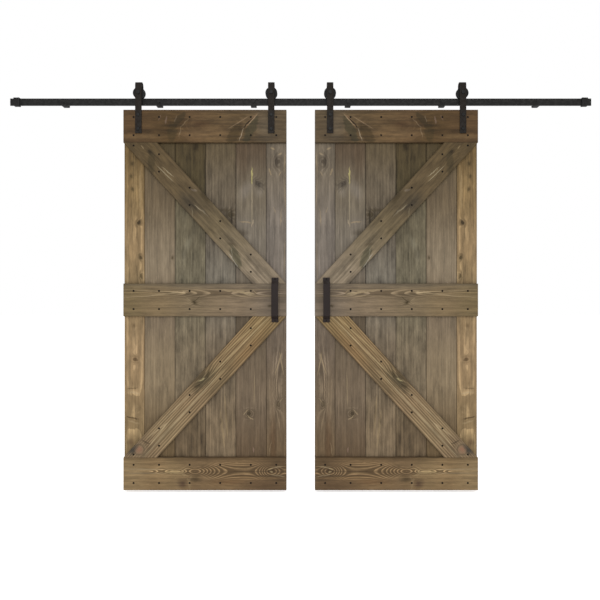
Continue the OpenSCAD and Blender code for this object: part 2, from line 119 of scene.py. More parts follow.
class Wiring:
    """Adds nodes to one material or node group and joins them."""

    def __init__(self, tree: bpy.types.NodeTree) -> None:
        """Starts on a tree, which keeps the nodes that it already has."""
        self.tree = tree

    def node(self, kind: str, **settings: object) -> bpy.types.Node:
        """Adds a node.

        Args:
            kind: Class name of the node, without its ShaderNode prefix.
            settings: Properties of the node and their values.

        Returns:
            The new node.
        """
        made = self.tree.nodes.new("ShaderNode" + kind)
        for name, value in settings.items():
            setattr(made, name, value)
        return made

    def feed(self, socket: Socket, value: Socket | float | Sequence[float]) -> None:
        """Joins a socket to another one, or sets its value.

        Args:
            socket: The input to feed.
            value: Another node's output, a number or a row of numbers.
        """
        if isinstance(value, bpy.types.NodeSocket):
            self.tree.links.new(value, socket)
        else:
            socket.default_value = value

    def math(self, operation: str, *values: Value, clamp: bool = False) -> Socket:
        """Result of a Math node.

        Args:
            operation: What the node does, such as ADD.
            values: Its one to three numbers.
            clamp: Whether the result is kept from 0 to 1.

        Returns:
            The output socket.
        """
        made = self.node("Math", operation=operation, use_clamp=clamp)
        for socket, value in zip(made.inputs, values):
            self.feed(socket, value)
        return made.outputs[0]

    def times(self, *values: Value) -> Socket:
        """Product of values.

        Args:
            values: Two or more of them.

        Returns:
            The output socket.
        """
        result = values[0]
        for value in values[1:]:
            result = self.math("MULTIPLY", result, value)
        return result

    def plus(self, *values: Value) -> Socket:
        """Sum of values.

        Args:
            values: One or more of them.

        Returns:
            The output socket, or the value itself if there is only one.
        """
        result = values[0]
        for value in values[1:]:
            result = self.math("ADD", result, value)
        return result

    def swing(self, value: Value, amount: Value) -> Socket:
        """A value from 0 to 1 turned into one from -amount to amount."""
        return self.times(self.math("MULTIPLY_ADD", value, 2.0, -1.0), amount)

    def vector(self, operation: str, *values: Triple, scale: Value | None = None) -> Socket:
        """Result of a Vector Math node, a vector or for LENGTH a number.

        Args:
            operation: What the node does, such as ADD.
            values: Its vectors.
            scale: Its factor, for SCALE.

        Returns:
            The output socket.
        """
        made = self.node("VectorMath", operation=operation)
        for socket, value in zip(made.inputs, values):
            self.feed(socket, value)
        if scale is not None:
            self.feed(made.inputs["Scale"], scale)
        return made.outputs["Value" if operation == "LENGTH" else "Vector"]

    def parts(self, vector: Socket) -> tuple[Socket, Socket, Socket]:
        """The three numbers of a vector.

        Args:
            vector: The vector.

        Returns:
            Its X, Y and Z.
        """
        made = self.node("SeparateXYZ")
        self.feed(made.inputs[0], vector)
        return made.outputs[0], made.outputs[1], made.outputs[2]

    def joined(self, x: Value, y: Value, z: Value) -> Socket:
        """A vector from three numbers.

        Args:
            x: Its X.
            y: Its Y.
            z: Its Z.

        Returns:
            The vector.
        """
        made = self.node("CombineXYZ")
        for socket, value in zip(made.inputs, (x, y, z)):
            self.feed(socket, value)
        return made.outputs[0]

    def noise(self, vector: Socket, scale: float, detail: float = 2.0, rough: float = 0.5) -> Socket:
        """Cloud noise around 0.5.

        Args:
            vector: Where it is read.
            scale: Number of clouds in a unit.
            detail: Number of finer layers.
            rough: Strength of each finer layer.

        Returns:
            Its factor.
        """
        made = self.node("TexNoise", noise_dimensions="3D")
        self.feed(made.inputs["Vector"], vector)
        self.feed(made.inputs["Scale"], scale)
        self.feed(made.inputs["Detail"], detail)
        self.feed(made.inputs["Roughness"], rough)
        return made.outputs[0]

    def between(self, value: Value, low: Value, high: Value, start: Value = 0.0, end: Value = 1.0) -> Socket:
        """A smooth step.

        Args:
            value: The number that drives it.
            low: Where the step begins.
            high: Where it ends, which may be below low.
            start: Result before low.
            end: Result past high.

        Returns:
            The stepped number.
        """
        made = self.node("MapRange", interpolation_type="SMOOTHSTEP", clamp=True)
        names = ("Value", "From Min", "From Max", "To Min", "To Max")
        for name, number in zip(names, (value, low, high, start, end)):
            self.feed(made.inputs[name], number)
        return made.outputs[0]

    def mix(self, factor: Value, first: Socket | Sequence[float], second: Socket | Sequence[float]) -> Socket:
        """A mix of two colours.

        Args:
            factor: Share of the second colour.
            first: Colour below.
            second: Colour on top.

        Returns:
            The mixed colour.
        """
        made = self.node("Mix", data_type="RGBA", blend_type="MIX", clamp_factor=True)
        for number, value in zip(MIX_INPUTS, (factor, first, second)):
            self.feed(made.inputs[number], value)
        return made.outputs[MIX_OUTPUT]

    def ramp(self, factor: Socket, stops: Sequence[tuple[float, Colour]]) -> Socket:
        """A colour that runs through given stops.

        Args:
            factor: Place on the ramp, from 0 to 1.
            stops: Places and linear colours, in order.

        Returns:
            The colour.
        """
        made = self.node("ValToRGB")
        ramp = made.color_ramp
        ramp.interpolation = "EASE"
        while len(ramp.elements) < len(stops):
            ramp.elements.new(1.0)
        for element, (place, colour) in zip(ramp.elements, stops):
            element.position = place
            element.color = stain(*colour)
        self.feed(made.inputs[0], factor)
        return made.outputs[0]

    def bump(self, height: Socket, depth: float, strength: float) -> Socket:
        """A normal roughened by a height.

        Args:
            height: Height from 0 to 1.
            depth: Real depth of that range.
            strength: Share of it that is used.

        Returns:
            The normal.
        """
        made = self.node("Bump")
        made.inputs["Strength"].default_value = strength
        made.inputs["Distance"].default_value = depth
        self.feed(made.inputs["Height"], height)
        return made.outputs[0]

    def place(self, effect: Effect, **values: Socket | float | Sequence[float]) -> dict[str, Socket]:
        """Places a shared effect.

        Args:
            effect: The effect whose node group is placed.
            values: Its inputs by name, with _ for a space.

        Returns:
            Its outputs by name.
        """
        made = self.node("Group", node_tree=effect.group())
        for name, value in values.items():
            self.feed(made.inputs[name.replace("_", " ")], value)
        return {socket.name: socket for socket in made.outputs}


@dataclass(frozen=True)
class Effect:
    """A surface effect that several finishes share, kept as one node group."""

    name: str
    inputs: tuple[tuple[str, float | Sequence[float]], ...]
    outputs: tuple[str, ...]
    draw: Callable[[Wiring, dict[str, Socket]], dict[str, Socket]]

    def group(self) -> bpy.types.NodeTree:
        """The node group, built when it is first asked for.

        Returns:
            The one group of this name.
        """
        found = bpy.data.node_groups.get(self.name)
        if found is not None:
            return found
        tree = bpy.data.node_groups.new(self.name, "ShaderNodeTree")
        for name, value in self.inputs:
            kind = "NodeSocketFloat" if isinstance(value, (int, float)) else "NodeSocketVector"
            tree.interface.new_socket(name, in_out="INPUT", socket_type=kind).default_value = value
        for name in self.outputs:
            tree.interface.new_socket(name, in_out="OUTPUT", socket_type="NodeSocketFloat")
        wiring = Wiring(tree)
        start, end = tree.nodes.new("NodeGroupInput"), tree.nodes.new("NodeGroupOutput")
        drawn = self.draw(wiring, {socket.name: socket for socket in start.outputs if socket.name})
        for name, socket in drawn.items():
            wiring.feed(end.inputs[name], socket)
        return tree


# ---------------------------------------------------------------- shared effects


def draw_swell(w: Wiring, ins: dict[str, Socket]) -> dict[str, Socket]:
    """Distance from a knot's middle, and how near it a point is.

    Args:
        w: Wiring of the group.
        ins: The group's inputs.

    Returns:
        Its outputs.
    """
    turn = w.node("VectorRotate", rotation_type="Y_AXIS")
    w.feed(turn.inputs["Vector"], ins["Vector"])
    w.feed(turn.inputs["Center"], ins["Middle"])
    w.feed(turn.inputs["Angle"], ins["Turn"])
    offset = w.vector("MULTIPLY", w.vector("SUBTRACT", turn.outputs[0], ins["Middle"]), (1.0, 0.0, 1.0))
    distance = w.vector("LENGTH", w.vector("DIVIDE", offset, ins["Size"]))
    return {"Distance": distance, "Near": w.math("EXPONENT", w.times(distance, distance, -1.0))}


RING_WAVES = (1.6, 5.0, 7.0)  # slow waves of the rings in a metre, along, into and across a board


def draw_rings(w: Wiring, ins: dict[str, Socket]) -> dict[str, Socket]:
    """Growth rings about a pith that lies behind the board's face.

    Args:
        w: Wiring of the group.
        ins: The group's inputs.

    Returns:
        Its outputs.
    """
    _along, depth, across = w.parts(ins["Vector"])
    radius = w.vector("LENGTH", w.joined(
        0.0, w.math("ADD", depth, ins["Pith Depth"]), w.math("SUBTRACT", across, ins["Pith Across"])))
    seeded = w.vector("ADD", w.vector("MULTIPLY", ins["Vector"], RING_WAVES), w.joined(ins["Seed"], 0.0, 0.0))
    wander = w.swing(w.noise(seeded, scale=1.0, detail=3.0, rough=0.45), ins["Wander"])
    count = w.plus(w.math("DIVIDE", radius, ins["Ring Gap"]), wander, ins["Lift"])
    place = w.math("FRACT", count)
    starts, full, fades = 0.35, 0.82, 0.9  # parts of a ring where its pale line starts, is full and fades
    line = w.times(w.between(place, starts, full), w.between(place, 1.0, fades))
    return {"Line": line, "Shade": place}


@dataclass(frozen=True)
class Clouds:
    """Noise drawn out along the grain: clouds in a metre each way, and finer layers."""

    along: float
    across: float
    detail: float = 1.0
    rough: float = 0.5

    def drawn(self, w: Wiring, board: Socket, shift: Socket) -> Socket:
        """Adds the noise to a group.

        Args:
            w: Wiring of the group.
            board: Place on the board.
            shift: Vector that sets one board's noise apart from another's.

        Returns:
            The noise, around 0.5.
        """
        spread = w.vector("MULTIPLY", board, (self.along, self.across, self.across))
        return w.noise(w.vector("ADD", spread, shift), 1.0, self.detail, self.rough)


FIBRES, STREAKS, BLOTCHES = Clouds(9.0, 230.0, 5.0, 0.72), Clouds(2.2, 62.0, 4.0, 0.66), Clouds(9.0, 28.0, 5.0, 0.64)
FLECKS, FLECKED_AREAS = Clouds(26.0, 240.0), Clouds(5.0, 14.0)
SEED_SPREAD = 3.1  # how much further a seed moves the noise along the grain than into the board


def draw_fibre(w: Wiring, ins: dict[str, Socket]) -> dict[str, Socket]:
    """Fibres, broad streaks, blotches and flecks of stained pine.

    Args:
        w: Wiring of the group.
        ins: The group's inputs.

    Returns:
        Its outputs.
    """
    shift = w.joined(w.times(ins["Seed"], SEED_SPREAD), ins["Seed"], 0.0)
    fibre, streak, blotch, fleck, area = (clouds.drawn(w, ins["Vector"], shift) for clouds in
                                          (FIBRES, STREAKS, BLOTCHES, FLECKS, FLECKED_AREAS))
    return {"Fibre": fibre, "Streak": streak, "Blotch": blotch,
            "Fleck": w.times(w.between(fleck, 0.62, 0.72), w.between(area, 0.46, 0.62))}


ARRIS_WAVES = (30.0, 0.0, 60.0)  # waves of the ragged edge in a metre
ARRIS_RAGGED, ARRIS_REACH, ARRIS_FULL = 2.2 * MM, 6.2 * MM, 0.6 * MM


def draw_arris(w: Wiring, ins: dict[str, Socket]) -> dict[str, Socket]:
    """The darker, slightly ragged strip along a board's long edges.

    Args:
        w: Wiring of the group.
        ins: The group's inputs.

    Returns:
        Its outputs.
    """
    across = w.parts(ins["Vector"])[2]
    ragged = w.swing(w.noise(w.vector("MULTIPLY", ins["Vector"], ARRIS_WAVES), 1.0), ARRIS_RAGGED)
    inside = w.plus(w.math("SUBTRACT", ins["Half Width"], w.math("ABSOLUTE", across)), ragged)
    return {"Edge": w.between(inside, ARRIS_REACH, ARRIS_FULL)}


SCUFF_WAVES = (60.0, 60.0, 190.0)  # scuffs in a metre, closest together in height
GRAIN_WAVES, CLOUD_WAVES, CHIP_WAVES, DUST_WAVES = 1600.0, 22.0, 90.0, 35.0  # each in a metre
SCUFF_SHARE = 0.2  # wear of a scuff against that of a corner
DUST = (0.3, 0.28, 0.25)


def draw_coat(w: Wiring, ins: dict[str, Socket]) -> dict[str, Socket]:
    """Texture, wear and dust of a painted or oxidised steel part.

    Args:
        w: Wiring of the group.
        ins: The group's inputs.

    Returns:
        Its outputs.
    """
    at, geometry = ins["Vector"], w.node("NewGeometry")
    scuff = w.between(w.noise(w.vector("MULTIPLY", at, SCUFF_WAVES), 1.0, detail=3.0, rough=0.6), 0.6, 0.75)
    corner = w.between(geometry.outputs["Pointiness"], 0.52, 0.6)
    chips = w.between(w.noise(at, CHIP_WAVES, detail=3.0), 0.35, 0.7)
    upward = w.between(w.parts(geometry.outputs["Normal"])[2], 0.3, 1.0)
    return {"Grain": w.noise(at, GRAIN_WAVES, rough=0.6), "Cloud": w.noise(at, CLOUD_WAVES, detail=3.0),
            "Wear": w.times(w.math("MAXIMUM", w.times(corner, chips), w.times(scuff, SCUFF_SHARE)), ins["Amount"]),
            "Dust": w.times(upward, w.between(w.noise(at, DUST_WAVES, detail=4.0), 0.3, 0.7))}


SWELL = Effect("knot_shape", (("Vector", (0, 0, 0)), ("Middle", (0, 0, 0)), ("Size", (0.02, 1, 0.02)),
                              ("Turn", 0.0)), ("Distance", "Near"), draw_swell)
RINGS = Effect("growth_rings", (("Vector", (0, 0, 0)), ("Pith Across", 0.0), ("Pith Depth", 0.06),
                                ("Ring Gap", 0.008), ("Wander", 1.0), ("Seed", 0.0), ("Lift", 0.0)),
               ("Line", "Shade"), draw_rings)
FIBRE = Effect("wood_fibre", (("Vector", (0, 0, 0)), ("Seed", 0.0)),
               ("Fibre", "Streak", "Blotch", "Fleck"), draw_fibre)
ARRIS = Effect("board_arris", (("Vector", (0, 0, 0)), ("Half Width", 0.09)), ("Edge",), draw_arris)
COAT = Effect("steel_coat", (("Vector", (0, 0, 0)), ("Amount", 1.0)),
              ("Grain", "Cloud", "Wear", "Dust"), draw_coat)


# ---------------------------------------------------------------- finishes


class Mark(Enum):
    """What a feature in a board's grain does to its colour."""

    KNOT = "knot with a hard core and a soft halo"
    PATCH = "patch with a crisp edge"
    SMUDGE = "soft patch"
    SWIRL = "grain that bends or shows up, with no colour of its own"


@dataclass(frozen=True)
class Feature:
    """A knot or bend in the grain, placed on its board.

    Along runs with the grain from the board's start, and across from its middle line.
    """

    mark: Mark
    along: float
    across: float
    length: float
    width: float
    turn: float = 0.0
    rise: float = 0.0
    depth: float = 0.75
    shows: float = 0.0
    tint: Colour = (0.045, 0.034, 0.022)

    @property
    def fine(self) -> bool:
        """Whether it is a long thin line, which runs smoothly."""
        return self.length > 20 * self.width


@dataclass(frozen=True)
class Rise:
    """A stretch of board where the pith lies deeper, or nearer when amount is negative."""

    along: float
    reach: float
    amount: float
    power: float = 2.0


WARP_WAVES, WARP_DETAIL, WARP_REACH = 42.0, 3.0, 16 * MM  # how knots and patches are bent out of true
CALM_SHARE = 0.18  # share of that bend that fibres and fine lines keep
LINE_TINT = (1.0, 1.03, 1.06)  # pale lines are a little less brown than the wood round them
RING_SHADE = 0.06  # how far the wood darkens from one ring's start to its end
FLECK_SHARE = 0.3
EDGE_SHARE, EDGE_DARK = 0.5, 0.45


@dataclass(frozen=True)
class WoodFinish:
    """Stained pine of one board: tones along it, ring lines and features. On planks 5 and 6 some tones are painted
    shade near the upper brace and the rails.
    """

    name: str
    tones: tuple[tuple[float, Colour], ...]
    features: tuple[Feature, ...] = ()
    rises: tuple[Rise, ...] = ()
    pith_across: float = 0.02
    pith_depth: float = 0.07
    ring_gap: float = 0.012
    wander: float = 1.0
    seed: float = 0.0
    line_gain: float = 1.9
    valley: float = 0.22
    line_shows: float = 0.18
    streak: float = 0.55
    blotch: float = 0.42
    fibre: float = 0.42
    gain: float = 0.66
    haze: float = 0.008
    roughness: tuple[float, float] = (0.62, 0.8)
    relief: float = 1.1 * MM
    relief_share: float = 0.55
    specular: float = 0.12

    def material(self, start: Vector, turn: float, length: float, half_width: float) -> bpy.types.Material:
        """Builds the finish for a board of either door, which mirror each other.

        Args:
            start: Middle of the board's start on the right door.
            turn: Angle about Y from the X axis to the board's grain.
            length: Length of the board.
            half_width: Half its width.

        Returns:
            The material.
        """
        made, w, shader = new_material(self.name)
        board = self.board_space(w, start, turn)
        bent, calm = self.warped(w, board)
        shapes = [(feature, w.place(SWELL, Vector=calm if feature.fine else bent, Turn=feature.turn,
                                    Middle=(feature.along, 0.0, feature.across),
                                    Size=(feature.length, 1.0, feature.width))) for feature in self.features]
        along = w.parts(board)[0]
        rings = w.place(RINGS, Vector=board, Pith_Across=self.pith_across, Pith_Depth=self.pith(w, along),
                        Ring_Gap=self.ring_gap, Wander=self.wander, Seed=self.seed,
                        Lift=w.plus(0.0, *[w.times(shape["Near"], f.rise) for f, shape in shapes if f.rise]))
        shows = w.plus(self.line_shows, *[w.times(shape["Near"], f.shows) for f, shape in shapes if f.shows])
        fibre = w.place(FIBRE, Vector=calm, Seed=self.seed)
        edge = w.place(ARRIS, Vector=board, Half_Width=half_width)["Edge"]
        # Tones along the board: stain, and on planks 5 and 6 painted shade near the upper brace and the rails.
        base = w.ramp(w.math("DIVIDE", along, length, clamp=True),
                      [(place / length, self.base(tone)) for place, tone in self.tones])
        colour, tone = self.figure(w, base, rings, fibre, w.math("MINIMUM", shows, 1.0))
        height = w.plus(w.times(fibre["Fibre"], 0.5), w.times(rings["Line"], 0.35), w.times(edge, -0.5))
        for feature, shape in shapes:
            mask = self.mask(w, feature, shape, fibre)
            if mask is not None:
                colour = w.mix(mask, colour, w.vector("SCALE", self.base(feature.tint), scale=tone))
                height = w.plus(height, w.times(mask, -0.3))
        colour = w.mix(w.times(edge, EDGE_SHARE), colour, w.vector("SCALE", colour, scale=EDGE_DARK))
        w.feed(shader.inputs["Base Color"], colour)
        w.feed(shader.inputs["Roughness"], w.between(fibre["Streak"], 0.2, 0.8, *self.roughness))
        w.feed(shader.inputs["Normal"], w.bump(height, self.relief, self.relief_share))
        shader.inputs["Specular IOR Level"].default_value = self.specular
        return made

    @staticmethod
    def board_space(w: Wiring, start: Vector, turn: float) -> Socket:
        """Places on a board, with X along its grain, Y into it and Z across it.

        Args:
            w: Wiring of the material.
            start: Middle of the board's start on the right door.
            turn: Angle about Y from the X axis to the board's grain.

        Returns:
            The vector, the same for a place on either door.
        """
        x, y, z = w.parts(w.node("TexCoord").outputs["Object"])
        mapping = w.node("Mapping", vector_type="TEXTURE")
        mapping.inputs["Location"].default_value = start
        mapping.inputs["Rotation"].default_value = (0.0, turn, 0.0)
        w.feed(mapping.inputs["Vector"], w.joined(w.math("ABSOLUTE", x), y, z))
        return mapping.outputs[0]

    def warped(self, w: Wiring, board: Socket) -> tuple[Socket, Socket]:
        """Places on a board pushed about by soft noise.

        Args:
            w: Wiring of the material.
            board: Place on the board.

        Returns:
            The full bend for knots and patches, and the slight one for fibres and fine lines.
        """
        warp = w.node("TexNoise", noise_dimensions="3D")
        w.feed(warp.inputs["Vector"], w.vector("ADD", board, (self.seed, 0.0, 0.0)))
        warp.inputs["Scale"].default_value = WARP_WAVES
        warp.inputs["Detail"].default_value = WARP_DETAIL
        centred = w.vector("SUBTRACT", warp.outputs["Color"], (0.5, 0.5, 0.5))
        drift = w.vector("SCALE", centred, scale=WARP_REACH)
        return w.vector("ADD", board, drift), w.vector("ADD", board, w.vector("SCALE", drift, scale=CALM_SHARE))

    def pith(self, w: Wiring, along: Socket) -> Value:
        """Depth of the pith along the board.

        Args:
            w: Wiring of the material.
            along: Distance from the board's start.

        Returns:
            The depth, with each rise and dip in it.
        """
        depth = self.pith_depth
        for rise in self.rises:
            away = w.math("ABSOLUTE", w.math("DIVIDE", w.math("SUBTRACT", along, rise.along), rise.reach))
            near = w.math("EXPONENT", w.times(w.math("POWER", away, rise.power), -1.0))
            depth = w.plus(w.times(near, rise.amount), depth)
        return depth

    def figure(self, w: Wiring, base: Socket, rings: dict[str, Socket], fibre: dict[str, Socket],
               clear: Socket) -> tuple[Socket, Socket]:
        """The wood's colour before its knots and patches.

        Args:
            w: Wiring of the material.
            base: Tone along the board: stain, and on planks 5 and 6 painted shade near the upper brace and the rails.
            rings: Outputs of the growth rings.
            fibre: Outputs of the wood's fibre effect.
            clear: How clearly the ring lines show, from 0 to 1.

        Returns:
            The colour, and the tone that it was multiplied by.
        """
        tone = w.plus(1.0, w.swing(fibre["Streak"], self.streak), w.swing(fibre["Blotch"], self.blotch),
                      w.swing(fibre["Fibre"], self.fibre), w.swing(rings["Shade"], -RING_SHADE))
        line = w.times(rings["Line"], clear, w.between(fibre["Streak"], 0.3, 0.6, 0.5, 1.0))
        valley = w.times(w.math("SUBTRACT", clear, line), -self.valley)
        tone = w.times(tone, w.plus(valley, 1.0))
        colour = w.vector("SCALE", base, scale=tone)
        pale = w.vector("MULTIPLY", colour, tuple(self.line_gain * part for part in LINE_TINT))
        colour = w.mix(line, colour, pale)
        return w.mix(w.times(fibre["Fleck"], FLECK_SHARE), colour, pale), tone

    def base(self, tone: Colour) -> Colour:
        """The shader's own colour for a tone seen under the studio's light."""
        return tuple(max(part * self.gain - self.haze, 0.002) for part in tone)

    @staticmethod
    def mask(w: Wiring, feature: Feature, shape: dict[str, Socket], fibre: dict[str, Socket]) -> Socket | None:
        """Where a feature colours the wood.

        Args:
            w: Wiring of the material.
            feature: The feature.
            shape: Outputs of its knot shape.
            fibre: Outputs of the wood's fibre effect.

        Returns:
            A mask from 0 to 1, or None for a bend with no colour.
        """
        if feature.mark is Mark.SWIRL:
            return None
        distance = w.plus(shape["Distance"], w.swing(fibre["Streak"], 0.45), w.swing(fibre["Fibre"], 0.3))
        if feature.mark is Mark.PATCH:
            inside = w.between(distance, 1.15, 0.75)
        elif feature.mark is Mark.KNOT:
            halo, core = w.between(distance, 1.7, 0.3), w.between(distance, 0.7, 0.35)
            inside = w.plus(w.times(halo, 0.6), w.times(core, 0.4))
        else:
            inside = w.between(distance, 1.5, 0.0)
        return w.times(inside, feature.depth)


@dataclass(frozen=True)
class SteelFinish:
    """Painted, oxidised or bare steel, or rubber."""

    name: str
    slot: str
    colour: Colour
    worn: Colour = (0.05, 0.049, 0.047)
    roughness: float = 0.5
    wear: float = 0.25
    dust: float = 0.06
    grain: float = 0.5
    metallic: float = 0.0
    specular: float = 0.1
    relief: float = 0.06 * MM

    def material(self) -> bpy.types.Material:
        """The finish's material, built when it is first asked for.

        Returns:
            The one material of this name.
        """
        found = bpy.data.materials.get(self.name)
        if found is not None:
            return found
        made, w, shader = new_material(self.name)
        coat = w.place(COAT, Vector=w.node("TexCoord").outputs["Object"], Amount=self.wear)
        tone = w.plus(1.0, w.swing(coat["Cloud"], 0.2), w.swing(coat["Grain"], 0.12))
        colour = w.mix(coat["Wear"], w.vector("SCALE", self.colour, scale=tone), stain(*self.worn))
        colour = w.mix(w.times(coat["Dust"], self.dust), colour, stain(*DUST))
        rough = w.plus(w.swing(coat["Cloud"], 0.12), w.times(coat["Wear"], -0.15), w.times(coat["Dust"], 0.15),
                       self.roughness)
        w.feed(shader.inputs["Base Color"], colour)
        w.feed(shader.inputs["Roughness"], rough)
        w.feed(shader.inputs["Normal"], w.bump(coat["Grain"], self.relief, self.grain))
        shader.inputs["Metallic"].default_value = self.metallic
        shader.inputs["Specular IOR Level"].default_value = self.specular
        return made


def new_material(name: str) -> tuple[bpy.types.Material, Wiring, bpy.types.Node]:
    """Starts a material.

    Args:
        name: Its name.

    Returns:
        The material, its wiring and its Principled shader.
    """
    made = bpy.data.materials.new(name)
    made.use_nodes = True
    return made, Wiring(made.node_tree), made.node_tree.nodes["Principled BSDF"]


# ---------------------------------------------------------------- shapes


def hex_corner(flats: float) -> float:
    """Radius to the corners of a hexagon of a given width across its flats."""
    return flats / 2 / math.cos(math.pi / 6)


@dataclass
class Shape:
    """The mesh of one piece while it is built. Round parts turn about the Y axis."""

    bm: bmesh.types.BMesh = field(default_factory=bmesh.new)

    def soften(self, edges: Iterable[bmesh.types.BMEdge], width: float, segments: int = 2) -> None:
        """Rounds edges.

        Args:
            edges: The edges to round.
            width: Width of the rounding.
            segments: Number of its facets.
        """
        bmesh.ops.bevel(self.bm, geom=list(edges), offset=width, segments=segments, affect="EDGES",
                        profile=0.5, material=-1, clamp_overlap=True)

    def sharp(self, edges: Iterable[bmesh.types.BMEdge], angle: float = 40.0) -> list[bmesh.types.BMEdge]:
        """Those edges whose faces meet at more than a given angle in degrees."""
        return [e for e in edges if e.is_manifold and e.calc_face_angle(0.0) > math.radians(angle)]

    def block(self, low: Sequence[float], high: Sequence[float], bevel: float, segments: int = 2) -> None:
        """Adds a block with rounded edges.

        Args:
            low: Its lowest corner.
            high: Its highest corner.
            bevel: Width of the rounding.
            segments: Number of facets of the rounding.
        """
        low_v, high_v = Vector(low), Vector(high)
        size = Matrix.Diagonal((*(high_v - low_v), 1.0))
        made = bmesh.ops.create_cube(self.bm, size=1.0, matrix=Matrix.Translation((low_v + high_v) / 2) @ size)
        self.soften({e for v in made["verts"] for e in v.link_edges}, bevel, segments)

    def frame_block(self, low: Sequence[float], high: Sequence[float], slot: tuple[float, float, float, float],
                    bevel: float, segments: int = 2) -> None:
        """Adds a block with a slot through it along X.

        Args:
            low: Its lowest corner.
            high: Its highest corner.
            slot: The slot's low Y, high Y, low Z and high Z.
            bevel: Width of the rounding.
            segments: Number of facets of the rounding.
        """
        loops = []
        for y0, y1, z0, z1 in ((low[1], high[1], low[2], high[2]), slot):
            corners = [self.bm.verts.new((low[0], y, z)) for y, z in ((y0, z0), (y1, z0), (y1, z1), (y0, z1))]
            loops += [self.bm.edges.new((corners[k], corners[(k + 1) % 4])) for k in range(4)]
        ring = bmesh.ops.bridge_loops(self.bm, edges=loops)
        made = bmesh.ops.extrude_face_region(self.bm, geom=ring["faces"])
        verts = [v for v in made["geom"] if isinstance(v, bmesh.types.BMVert)]
        bmesh.ops.translate(self.bm, verts=verts, vec=(high[0] - low[0], 0.0, 0.0))
        piece = {v for e in loops for v in e.verts} | set(verts)
        bmesh.ops.recalc_face_normals(self.bm, faces=list({f for v in piece for f in v.link_faces}))
        self.soften(self.sharp({e for v in piece for e in v.link_edges}), bevel, segments)

    def turned(self, outline: Sequence[tuple[float, float]], x: float, z: float, steps: int = 32,
               closed: bool = False) -> None:
        """Adds a turned part.

        Args:
            outline: Radii and Y places along its section.
            x: X of its axis.
            z: Z of its axis.
            steps: Number of facets round it.
            closed: Whether the section returns to its start, as a ring's does.
        """
        verts = [self.bm.verts.new((x + r, y, z)) for r, y in outline]
        pairs = list(zip(verts, verts[1:])) + ([(verts[-1], verts[0])] if closed else [])
        edges = [self.bm.edges.new(pair) for pair in pairs]
        before = set(self.bm.faces)
        bmesh.ops.spin(self.bm, geom=verts + edges, cent=(x, 0.0, z), axis=(0.0, 1.0, 0.0), dvec=(0.0, 0.0, 0.0),
                       angle=math.tau, steps=steps, use_merge=True, use_duplicate=False)
        faces = [f for f in self.bm.faces if f not in before]
        touched = list({v for f in faces for v in f.verts})
        bmesh.ops.remove_doubles(self.bm, verts=touched, dist=1e-6)
        faces = [f for f in self.bm.faces if f not in before]
        bmesh.ops.recalc_face_normals(self.bm, faces=faces)

    def hex_body(self, x: float, z: float, y_front: float, y_back: float, flats: float, crown: float) -> None:
        """Adds a hexagonal head with a chamfered front.

        Args:
            x: X of its axis.
            z: Z of its axis.
            y_front: Y of its front face.
            y_back: Y of its seat.
            flats: Width across its flats.
            crown: Width of the front chamfer.
        """
        turn = Matrix.Translation((x, y_back, z)) @ Matrix.Rotation(math.radians(90), 4, "X")
        made = bmesh.ops.create_circle(self.bm, cap_ends=True, segments=6, radius=hex_corner(flats), matrix=turn)
        face = made["verts"][0].link_faces[0]
        pushed = bmesh.ops.extrude_face_region(self.bm, geom=[face])["geom"]
        verts = [v for v in pushed if isinstance(v, bmesh.types.BMVert)]
        bmesh.ops.translate(self.bm, verts=verts, vec=(0.0, y_front - y_back, 0.0))
        front = next(f for f in pushed if isinstance(f, bmesh.types.BMFace))
        piece = set(verts) | set(made["verts"])
        bmesh.ops.recalc_face_normals(self.bm, faces=list({f for v in piece for f in v.link_faces}))
        rim, inset, dish = list(front.edges), flats * 0.3, (y_back - y_front) * 0.06
        bmesh.ops.inset_region(self.bm, faces=[front], thickness=inset, depth=0.0, use_even_offset=True)
        bmesh.ops.translate(self.bm, verts=list(front.verts), vec=(0.0, dish, 0.0))
        self.soften(rim, crown, 2)

    def nut(self, x: float, z: float, y0: float, y1: float, flats: float, bore: float) -> None:
        """Adds a hexagonal nut.

        Args:
            x: X of its axis.
            z: Z of its axis.
            y0: Y of one end.
            y1: Y of the other.
            flats: Width across its flats.
            bore: Radius of its bore.
        """
        turn = Matrix.Translation((x, y0, z)) @ Matrix.Rotation(math.radians(90), 4, "X")
        loops = []
        for segments, radius in ((6, hex_corner(flats)), (18, bore)):
            made = bmesh.ops.create_circle(self.bm, cap_ends=False, segments=segments, radius=radius, matrix=turn)
            loops += list({e for v in made["verts"] for e in v.link_edges})
        ring = bmesh.ops.bridge_loops(self.bm, edges=loops)
        pushed = bmesh.ops.extrude_face_region(self.bm, geom=ring["faces"])["geom"]
        verts = [v for v in pushed if isinstance(v, bmesh.types.BMVert)]
        bmesh.ops.translate(self.bm, verts=verts, vec=(0.0, y1 - y0, 0.0))
        piece = set(verts) | {v for e in loops for v in e.verts}
        faces = list({f for v in piece for f in v.link_faces})
        bmesh.ops.recalc_face_normals(self.bm, faces=faces)
        rims = [e for e in {e for v in piece for e in v.link_edges}
                if all((v.co - Vector((x, v.co.y, z))).length > flats * 0.49 for v in e.verts)
                and abs(e.verts[0].co.y - e.verts[1].co.y) < 1e-6]
        self.soften(rims, flats * 0.05, 1)

